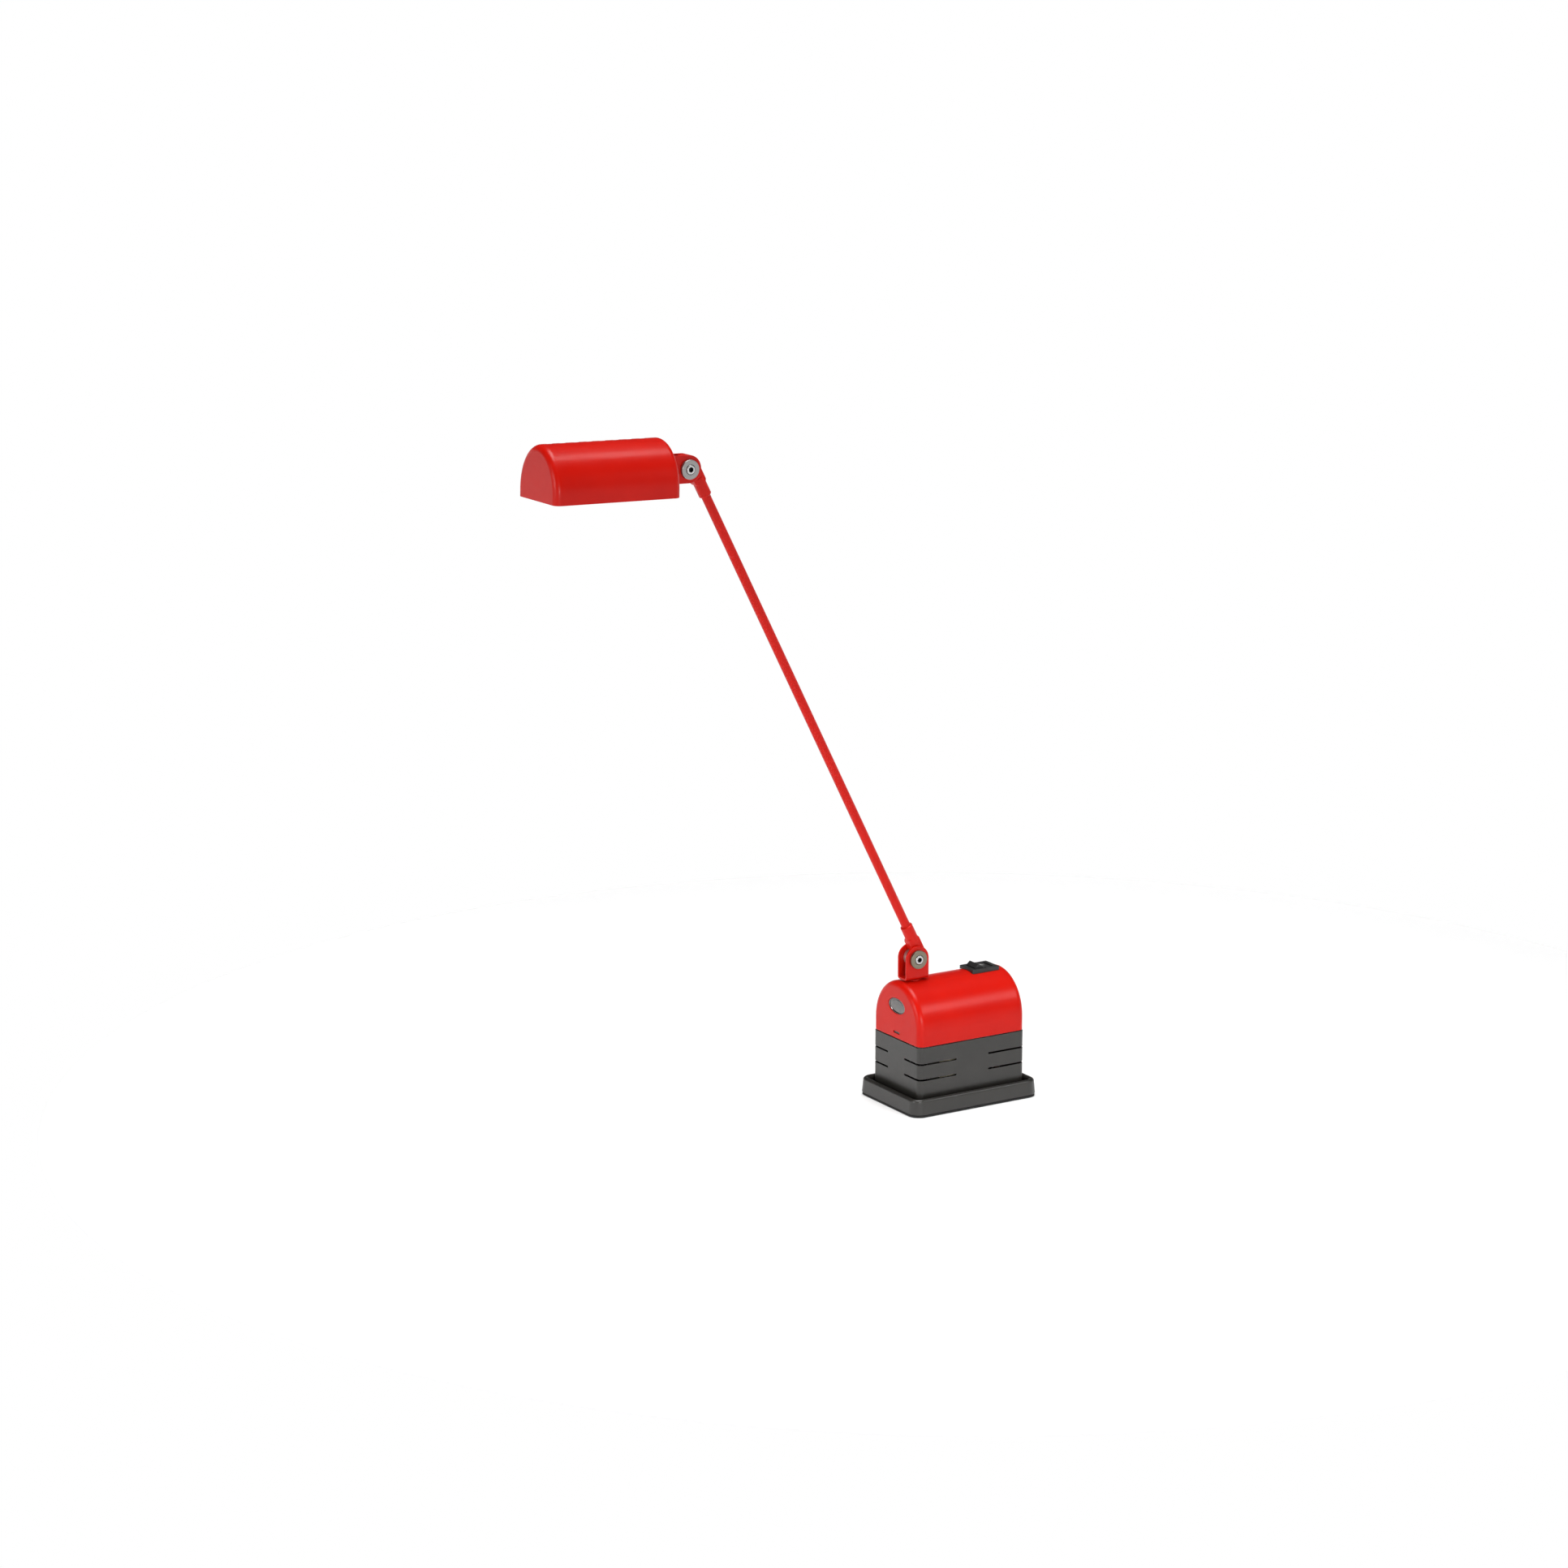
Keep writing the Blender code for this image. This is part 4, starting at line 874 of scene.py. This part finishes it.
# Switch


def make_switch():
    """A rocker's case under a rounded frame whose underside follows the cover's arch."""
    low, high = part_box("switch_body")
    centre = (low + high) / 2
    length, width = high.x - low.x, high.y - low.y
    cover_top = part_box("dome_cover")[1].z
    round_edge = 0.0006
    bezel_bottom = cover_top - 0.004
    top = high.z
    rim = arc((round_edge, top - round_edge), round_edge, 180, 90, 6)
    bezel = pan(length, width, BEZEL_CORNER, [(0, bezel_bottom), *rim])
    body = make("bezel", bezel, Matrix.Translation((centre.x, 0, 0)))
    under = prism(cover_arch(-GAP), -length, length)
    cut(body, under, place=Matrix.Translation((centre.x, 0, 0)) @ ALONG_X)
    half_x, half_y = SWITCH_CASE[0] / 2, SWITCH_CASE[1] / 2
    floor = cover_top - SWITCH_CASE_DEPTH
    case_top = top - 0.001
    case = block((centre.x - half_x, -half_y, floor), (centre.x + half_x, half_y, case_top))
    combine(body, "UNION", make("case", case))
    well_x, well_y, depth = SWITCH_WELL
    well_low = (centre.x - well_x / 2, -well_y / 2, top - depth)
    well_high = (centre.x + well_x / 2, well_y / 2, top + depth)
    well_corner = 0.0005
    half_thick, half_wide = SWITCH_TAB_HOLE[0] / 2, SWITCH_TAB_HOLE[1] / 2
    tabs = []
    for number in (1, 2):
        x = middle(f"switch_terminal_{number}").x
        tab_low = (x - half_thick, -half_wide, floor - OVERCUT)
        tab_high = (x + half_thick, half_wide, floor + OVERCUT)
        tabs.append(block(tab_low, tab_high))
    cut(body, block(well_low, well_high, well_corner), *tabs)
    pin = middle("switch_pin")
    half_pin = half_y - 0.0004
    pin_hole = round_hole(SWITCH_PIN_HOLE, -half_pin, half_pin)
    cut(body, pin_hole, place=Matrix.Translation(pin) @ FACING_FRONT)
    show_as_is(body, "switch_body")


def rocker_height(along):
    """How high a slope stands at this distance from the middle, over the pivot."""
    return ROCKER_DIP + (ROCKER_RISE - ROCKER_ROUND - ROCKER_DIP) * (along / ROCKER_CREST) ** ROCKER_HOLLOW


def make_rocker():
    """Two hollow slopes that rise to a crest near each end, over leaning end faces."""
    low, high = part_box("switch_rocker")
    pivot = Vector(JOINTS["switch_press"]["pos_m"])
    at_pivot = Matrix.Translation(pivot) @ Matrix.Rotation(math.radians(ROCKER_SWING), 4, "Y")
    steps = 10
    places = [ROCKER_CREST * (1 - i / steps) for i in range(steps)]
    slope = [(along, rocker_height(along)) for along in places]
    edge = ROCKER_CREST + ROCKER_ROUND
    right = [(edge + ROCKER_ROUND / 2, ROCKER_RISE - ROCKER_ROUND), (edge, ROCKER_RISE), *slope]
    upper = [*right, (0, ROCKER_DIP), *[(-x, z) for x, z in reversed(right)]]
    foot, skirt = ROCKER_FOOT
    outline = [(foot, skirt), *upper, (-foot, skirt), *arc((0, 0), ROCKER_BELLY, 220, 320, 16)]
    half_width = (high.y - low.y) / 2
    rocker = make("rocker", prism(outline, -half_width, half_width), at_pivot @ FACING_FRONT)
    bore = round_hole(SWITCH_PIN_HOLE, low.y - OVERCUT, high.y + OVERCUT)
    cut(rocker, bore, place=at_pivot @ FACING_FRONT)
    show_as_is(rocker, "switch_rocker")
    under, over = -MARK_SINK, MARK_PROUD
    outer, inner = MARK_RING
    ring = turned([(outer, under), (outer, over), (inner, over), (inner, under)], closed=True)
    half_bar, half_line = MARK_BAR[0] / 2, MARK_BAR[1] / 2
    bar = block((-half_bar, -half_line, under), (half_bar, half_line, over), corner=0.00007, steps=2)
    for name, mark, along in (("rocker_mark_ring", ring, 0.0026), ("rocker_mark_bar", bar, 0.0052)):
        height = rocker_height(along)
        slope_angle = math.atan2(ROCKER_HOLLOW * (height - ROCKER_DIP), along)
        on_face = Matrix.Translation((along, MARK_SIDE, height)) @ Matrix.Rotation(-slope_angle, 4, "Y")
        obj = make(name, mark, at_pivot @ on_face)
        obj.data.materials.append(MARK)
        obj.data.shade_smooth()
        obj.data.set_sharp_from_angle(angle=math.radians(SHARP_ANGLE))
        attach(obj, BODY_OF["switch_rocker"])


# The two U-brackets and their bolts: in each one's own placing, Z runs from its floor to its bolt


def make_bracket(node, place, reach):
    half = BRACKET_WIDTH / 2
    inside = half - BRACKET_SHEET
    small = BRACKET_BEND - BRACKET_SHEET
    turn_z = BRACKET_BEND - reach
    overlap = 0.002
    tall = EAR_RADIUS + overlap
    outline = [
        *arc((-half + BRACKET_BEND, turn_z), BRACKET_BEND, 180, 270, 12),
        *arc((half - BRACKET_BEND, turn_z), BRACKET_BEND, 270, 360, 12),
        (half, tall),
        (inside, tall),
        *arc((inside - small, turn_z), small, 0, -90, 8),
        *arc((-inside + small, turn_z), small, -90, -180, 8),
        (-inside, tall),
        (-half, tall),
    ]
    bracket = make("bracket", prism(outline, -tall, tall), ALONG_X)
    foot = -reach - overlap
    side = [(-EAR_RADIUS, foot), (EAR_RADIUS, foot), *arc((0, 0), EAR_RADIUS, 0, 180, 64)]
    ears = make("ears", prism(side, -BRACKET_WIDTH, BRACKET_WIDTH), FACING_FRONT)
    combine(bracket, "INTERSECT", ears)
    cut(bracket, round_hole(BOLT_HOLE, -half - OVERCUT, half + OVERCUT), place=FACING_FRONT)
    cut(bracket, round_hole(SCREW_HOLE, -reach - OVERCUT, -reach + OVERCUT))
    ease(bracket, 0.00035, segments=3, angle=50)
    bracket.data.transform(place)
    show_as_is(bracket, node)


def make_bolt_set(prefix, place, steel):
    """Front and back discs against the ears, and a socket-head bolt."""
    inner = BRACKET_WIDTH / 2 + GAP
    outer = inner + DISC_THICKNESS
    floor = outer - DISC_RECESS
    edge, inner_edge, recess_edge = 0.0005, 0.0003, 0.0002
    disc = [
        (DISC_RECESS_RADIUS + recess_edge, outer),
        *arc((DISC_RADIUS - edge, outer - edge), edge, 90, 0, 5),
        *arc((DISC_RADIUS - inner_edge, inner + inner_edge), inner_edge, 0, -90, 3),
        (BOLT_HOLE, inner),
        (BOLT_HOLE, floor),
        (DISC_RECESS_RADIUS, floor),
        (DISC_RECESS_RADIUS, outer - recess_edge),
    ]
    for node, facing in ((f"{prefix}_front_disc", FACING_FRONT), (f"{prefix}_back_disc", FACING_BACK)):
        show(make("disc", turned(disc, closed=True), place @ facing), node, steel)

    head_bottom = floor + GAP
    head_top = outer + BOLT_PROUD
    end = -outer - 0.001
    end_edge = 0.0004
    profile = [
        (BOLT_SOCKET_RADIUS + 0.0006, head_top),
        *arc((BOLT_HEAD_RADIUS - edge, head_top - edge), edge, 90, 0, 5),
        (BOLT_HEAD_RADIUS, head_bottom),
        (BOLT_RADIUS, head_bottom),
        (BOLT_RADIUS, end + end_edge),
        (BOLT_RADIUS - end_edge, end),
    ]
    bolt = make("bolt", turned(profile), FACING_FRONT)
    socket = prism(circle(BOLT_SOCKET_RADIUS, 6), head_top - BOLT_SOCKET_DEPTH, head_top + OVERCUT)
    cut(bolt, socket, place=FACING_FRONT)
    bolt.data.transform(place)
    show(bolt, f"{prefix}_bolt", BOLT_STEEL)


def make_swivel_screw(node, place, reach):
    """The slotted screw on a bracket's floor."""
    under_head = -reach + BRACKET_SHEET + GAP
    low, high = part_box(node)
    length = max(high - low)
    head_radius, head_height = SCREW_HEAD
    top = under_head + head_height
    tip = top - length
    tip_edge = 0.0003
    domed = [(0.0008, top), (0.0022, top - 0.00012), (0.0032, top - 0.00055), (0.0039, top - 0.0013)]
    profile = [
        *domed,
        (head_radius, top - 0.0022),
        (head_radius, under_head),
        (SCREW_RADIUS, under_head),
        (SCREW_RADIUS, tip + tip_edge),
        (SCREW_RADIUS - tip_edge, tip),
    ]
    screw = make("screw", turned(profile))
    half_slot, slot_depth = SCREW_SLOT[0] / 2, SCREW_SLOT[1]
    slot_reach = head_radius + OVERCUT
    slot = block((-slot_reach, -half_slot, top - slot_depth), (slot_reach, half_slot, top + OVERCUT))
    cut(screw, slot)
    screw.data.transform(place)
    show_as_is(screw, node)


def make_saddle():
    """A round seat with a flat top, hollowed below to sit on the cover's arch."""
    low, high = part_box("swivel_saddle")
    radius = (high.y - low.y) / 2
    edge = 0.0004
    profile = [
        (SCREW_HOLE, high.z),
        *arc((radius - edge, high.z - edge), edge, 90, 0, 4),
        (radius, high.z - SADDLE_DEPTH),
        (SCREW_HOLE, high.z - SADDLE_DEPTH),
    ]
    saddle = make("saddle", turned(profile, closed=True), Matrix.Translation((LOWER_BOLT.x, 0, 0)))
    under = prism(cover_arch(-GAP), -radius - OVERCUT, radius + OVERCUT)
    cut(saddle, under, place=Matrix.Translation((LOWER_BOLT.x, 0, 0)) @ ALONG_X)
    show_as_is(saddle, "swivel_saddle")


# Arm, in its own placing: Z runs from the lower bolt to the upper one


def make_knuckle(node, base, way):
    """A cast block beside the bolt, hollowed for the drum, with a round collar that holds the tube's end."""
    drum_cut = DRUM_RADIUS + GAP
    drum_angle = math.degrees(math.acos(KNUCKLE_FACE / drum_cut))
    end_angle = math.degrees(math.acos(KNUCKLE_FACE / EAR_RADIUS))
    shoulder = NECK_END + 0.0025
    inner_taper, outer_taper = 0.0014, 0.0011
    points = [
        *arc((0, 0), drum_cut, -drum_angle, drum_angle, 48),
        (KNUCKLE_FACE, NECK_END),
        (KNUCKLE_FACE + inner_taper, shoulder),
        (EAR_RADIUS - outer_taper, shoulder),
        (EAR_RADIUS, NECK_END),
        *arc((0, 0), EAR_RADIUS, 0, -end_angle, 36),
    ]
    outline = [(x, base + way * z) for x, z in points]
    half = KNUCKLE_WIDTH / 2
    knuckle = make("knuckle", prism(outline, -half, half), FACING_FRONT)
    ease(knuckle, 0.0008, segments=4, angle=45)
    start = NECK_END - 0.003
    round_end = 0.0012
    rounded = arc((COLLAR_RADIUS - round_end, COLLAR_END - round_end), round_end, 0, 90, 6)
    collar = [(x, base + way * z) for x, z in [(COLLAR_RADIUS, start), *rounded]]
    offset = Matrix.Translation((TUBE_OFFSET, 0, 0))
    combine(knuckle, "UNION", make("collar", turned(collar), offset))
    socket = [(TUBE_RADIUS + GAP / 2, base + way * z) for z in (TUBE_START - GAP, COLLAR_END + OVERCUT)]
    cut(knuckle, turned(socket), place=offset)
    knuckle.data.transform(AT_ARM)
    show_as_is(knuckle, node)


def make_arm():
    make_knuckle("lower_knuckle", 0, 1)
    make_knuckle("upper_knuckle", ARM_REACH, -1)
    edge = 0.0003
    end = ARM_REACH - TUBE_START
    section = [
        (TUBE_BORE, TUBE_START),
        (TUBE_RADIUS - edge, TUBE_START),
        (TUBE_RADIUS, TUBE_START + edge),
        (TUBE_RADIUS, end - edge),
        (TUBE_RADIUS - edge, end),
        (TUBE_BORE, end),
    ]
    tube = turned(section, closed=True)
    show_as_is(make("tube", tube, AT_ARM @ Matrix.Translation((TUBE_OFFSET, 0, 0))), "arm_tube")
    half = DRUM_HALF_WIDTH
    drum = [
        (BOLT_HOLE, -half),
        (DRUM_RADIUS - edge, -half),
        (DRUM_RADIUS, -half + edge),
        (DRUM_RADIUS, half - edge),
        (DRUM_RADIUS - edge, half),
        (BOLT_HOLE, half),
    ]
    for node, height in (("lower_drum", 0), ("upper_drum", ARM_REACH)):
        place = AT_ARM @ Matrix.Translation((0, 0, height)) @ FACING_FRONT
        show(make("drum", turned(drum, closed=True), place), node, DRUM_STEEL)


# Head, in its own placing: X points back along it from the shade to the bolt


def make_spacer():
    outer = -HEAD_REACH - GAP
    inner = -HEAD_GAP + GAP
    edge = 0.0003
    low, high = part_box("head_spacer")
    radius = (high.y - low.y) / 2
    ring = [
        (SCREW_HOLE, inner),
        (radius - edge, inner),
        (radius, inner + edge),
        (radius, outer - edge),
        (radius - edge, outer),
        (SCREW_HOLE, outer),
    ]
    show_as_is(make("spacer", turned(ring, closed=True), AT_HEAD @ AXIS_TO_X), "head_spacer")


def make_shade():
    """The painted shell, with a row of vents just behind its ridge."""
    outline = (HEAD_HALF_WIDTH, HEAD_BOTTOM, HEAD_SPRING, HEAD_TOP)
    shell = arched_shell(*outline, HEAD_LENGTH, SHEET, HEAD_END_ROUND)
    centre_x = -HEAD_GAP - HEAD_LENGTH / 2
    shade = make("shade", shell, Matrix.Translation((centre_x, 0, 0)))
    vents = []
    for number in range(VENT_COUNT):
        x = centre_x + VENT_SHIFT + (number - (VENT_COUNT - 1) / 2) * VENT_PITCH
        vent_low = (x - VENT_LENGTH / 2, VENT_SIDES[0], HEAD_TOP - VENT_REACH)
        vent_high = (x + VENT_LENGTH / 2, VENT_SIDES[1], HEAD_TOP + VENT_REACH)
        vents.append(block(vent_low, vent_high, VENT_CORNER))
    cut(shade, *vents)
    screw_hole = round_hole(SCREW_HOLE, -OVERCUT, OVERCUT)
    cut(shade, screw_hole, place=Matrix.Translation((-HEAD_GAP, 0, 0)) @ AXIS_TO_X)
    ease(shade, SHEET_EDGE, segments=2, angle=60)
    shade.data.transform(AT_HEAD)
    show_as_is(shade, "shade")


def make_reflector():
    outline = (REFLECTOR_HALF_WIDTH, REFLECTOR_BOTTOM, REFLECTOR_SPRING, REFLECTOR_TOP)
    shell = arched_shell(*outline, REFLECTOR_LENGTH, REFLECTOR_WALL, REFLECTOR_END_ROUND)
    centre_x = -REFLECTOR_START - REFLECTOR_LENGTH / 2
    reflector = make("reflector", shell, Matrix.Translation((centre_x, 0, 0)))
    holder = AT_HEAD.inverted() @ middle("lamp_holder")
    hole = round_hole(HOLDER_SCREW_HOLE, -OVERCUT, OVERCUT)
    cut(reflector, hole, place=Matrix.Translation((-REFLECTOR_START, 0, holder.z)) @ AXIS_TO_X)
    reflector.data.transform(AT_HEAD)
    show_as_is(reflector, "reflector")


def make_lamp():
    """A ceramic holder with eased edges, and a quartz capsule on a pressed neck."""
    holder = AT_HEAD.inverted() @ middle("lamp_holder")
    low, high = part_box("lamp_holder")
    half_x, half_y, half_z = HOLDER_HALF_LENGTH, (high.y - low.y) / 2, HOLDER_HALF_HEIGHT
    body = make("holder", block((-half_x, -half_y, -half_z), (half_x, half_y, half_z), corner=0.0009))
    ways = []
    for y in (-PIN_HALF_SPACING, PIN_HALF_SPACING):
        pin_way = round_hole(PIN_HOLE, -half_x - OVERCUT, -half_x + PIN_HOLE_DEPTH)
        ways.append(make("pin_way", pin_way, Matrix.Translation((0, y, 0)) @ AXIS_TO_X))
    screw_way = round_hole(HOLDER_SCREW_HOLE, HOLDER_SCREW_END, half_x + OVERCUT)
    ways.append(make("screw_way", screw_way, AXIS_TO_X))
    combine(body, "DIFFERENCE", *ways)
    body.data.transform(AT_HEAD @ Matrix.Translation(holder))
    show_as_is(body, "lamp_holder")

    face = holder.x - half_x
    neck = face - 0.0012
    shoulder = neck - PINCH_LENGTH
    shoulder_round = 0.0022
    tip = shoulder - CAPSULE_LENGTH
    dome = [(r, tip + CAPSULE_RADIUS - z) for r, z in arc((0, 0), CAPSULE_RADIUS, 84, 0, 20)]
    rounded = arc((CAPSULE_RADIUS - shoulder_round, shoulder), shoulder_round, 0, 80, 8)
    at = AT_HEAD @ Matrix.Translation((0, 0, holder.z)) @ AXIS_TO_X
    capsule = make("capsule", turned([*dome, *rounded], steps=CAPSULE_STEPS), at)
    half_thick, half_wide = PINCH_HALF
    inside = shoulder - 0.001
    pinch = block((-half_thick, -half_wide, inside), (half_thick, half_wide, neck), corner=0.0008)
    combine(capsule, "UNION", make("pinch", pinch, at))
    show_as_is(capsule, "halogen_capsule")


make_mat()
make_tray()
make_box()
make_gland()
make_cover()
make_badge()
make_switch()
make_rocker()
make_saddle()
make_bracket("base_bracket", AT_LOWER_BOLT, BASE_REACH)
make_bracket("head_bracket", AT_UPPER_BOLT, HEAD_REACH)
make_bolt_set("lower", AT_LOWER_BOLT, LOWER_STEEL)
make_bolt_set("upper", AT_UPPER_BOLT, UPPER_STEEL)
make_swivel_screw("base_swivel_screw", AT_LOWER_BOLT, BASE_REACH)
make_swivel_screw("head_swivel_screw", AT_UPPER_BOLT, HEAD_REACH)
make_arm()
make_spacer()
make_shade()
make_reflector()
make_lamp()

for node, obj in frame["nodes"].items():
    if not obj.hide_render:
        obj.data.materials.clear()
        obj.data.materials.append(SLOT_FINISH[SLOT_OF[node]])


# Floor, light and camera


def make_floor():
    """A round pale sheet under the lamp, as bright as the horizon that it ends against."""
    bm = bmesh.new()
    bmesh.ops.create_circle(bm, cap_ends=True, segments=ROUND_STEPS, radius=FLOOR_RADIUS)
    floor = make("floor", bm)
    paper = Finish("pale_paper", (0.95, 0.95, 0.95), roughness=0.9)
    paper.mottle(2, (0.94, 0.94, 0.94))
    paper.set("Specular IOR Level", 0.2)
    floor.data.materials.append(paper.material)


def towards(azimuth, elevation):
    """The unit vector from the lamp to a place at these angles, seen from the camera's side of it."""
    a, e = math.radians(azimuth), math.radians(elevation)
    return Vector((math.sin(a) * math.cos(e), -math.cos(a) * math.cos(e), math.sin(e)))


def soft_box(name, azimuth, elevation, distance, size, power, aim, spread=180):
    light = bpy.data.lights.new(name, "AREA")
    light.shape = "RECTANGLE"
    light.size, light.size_y = size
    light.energy = power
    light.spread = math.radians(spread)
    obj = bpy.data.objects.new(name, light)
    bpy.context.scene.collection.objects.link(obj)
    direction = towards(azimuth, elevation)
    obj.location = Vector(aim) + distance * direction
    obj.rotation_mode = "QUATERNION"
    obj.rotation_quaternion = (-direction).to_track_quat("-Z", "Y")


def make_camera():
    camera = bpy.data.cameras.new("camera")
    camera.sensor_width = 36
    camera.lens = CAMERA_LENS
    camera.clip_start = 0.1
    camera.clip_end = 60
    obj = bpy.data.objects.new("camera", camera)
    bpy.context.scene.collection.objects.link(obj)
    back = towards(CAMERA_AZIMUTH, CAMERA_ELEVATION)
    obj.location = CAMERA_TARGET + CAMERA_DISTANCE * back
    obj.rotation_mode = "QUATERNION"
    obj.rotation_quaternion = (-back).to_track_quat("-Z", "Y")
    bpy.context.scene.camera = obj


def make_studio():
    """A white horizon under a dim surround, lit from a square light above and softer ones round the lamp."""
    world = bpy.data.worlds.new("studio")
    world.use_nodes = True
    tree = world.node_tree
    direction = tree.nodes.new("ShaderNodeTexCoord").outputs["Generated"]
    split = tree.nodes.new("ShaderNodeSeparateXYZ")
    tree.links.new(direction, split.inputs["Vector"])
    fade = tree.nodes.new("ShaderNodeMapRange")
    fade.inputs["From Min"].default_value, fade.inputs["From Max"].default_value = HORIZON_FADE
    fade.inputs["To Min"].default_value = 1.0
    fade.inputs["To Max"].default_value = SURROUND
    tree.links.new(split.outputs["Z"], fade.inputs["Value"])
    tree.nodes["Background"].inputs["Color"].default_value = (1, 1, 1, 1)
    tree.links.new(fade.outputs["Result"], tree.nodes["Background"].inputs["Strength"])
    bpy.context.scene.world = world
    bpy.context.scene.view_settings.view_transform = "Standard"
    soft_box("ceiling", 0, 90, distance=6.0, size=(3.2, 3.2), power=360, aim=(-0.1, 0, 0))
    soft_box("base_key", 38, 34, distance=2.0, size=(0.7, 0.5), power=0.46, aim=(0, 0, 0.09), spread=40)
    soft_box("head_key", 77, 58, distance=2.0, size=(0.5, 0.35), power=0.26, aim=(-0.37, 0, 0.63), spread=40)
    soft_box("side", -86, 18, distance=2.4, size=(1.0, 0.8), power=1.45, aim=(-0.06, 0, 0.06), spread=40)
    from_side = CAMERA_AZIMUTH + 12
    soft_box("fill", from_side, 15.5, distance=3.0, size=(1.6, 0.3), power=2.3, aim=(0, 0, 0.05), spread=40)


make_floor()
make_camera()
make_studio()
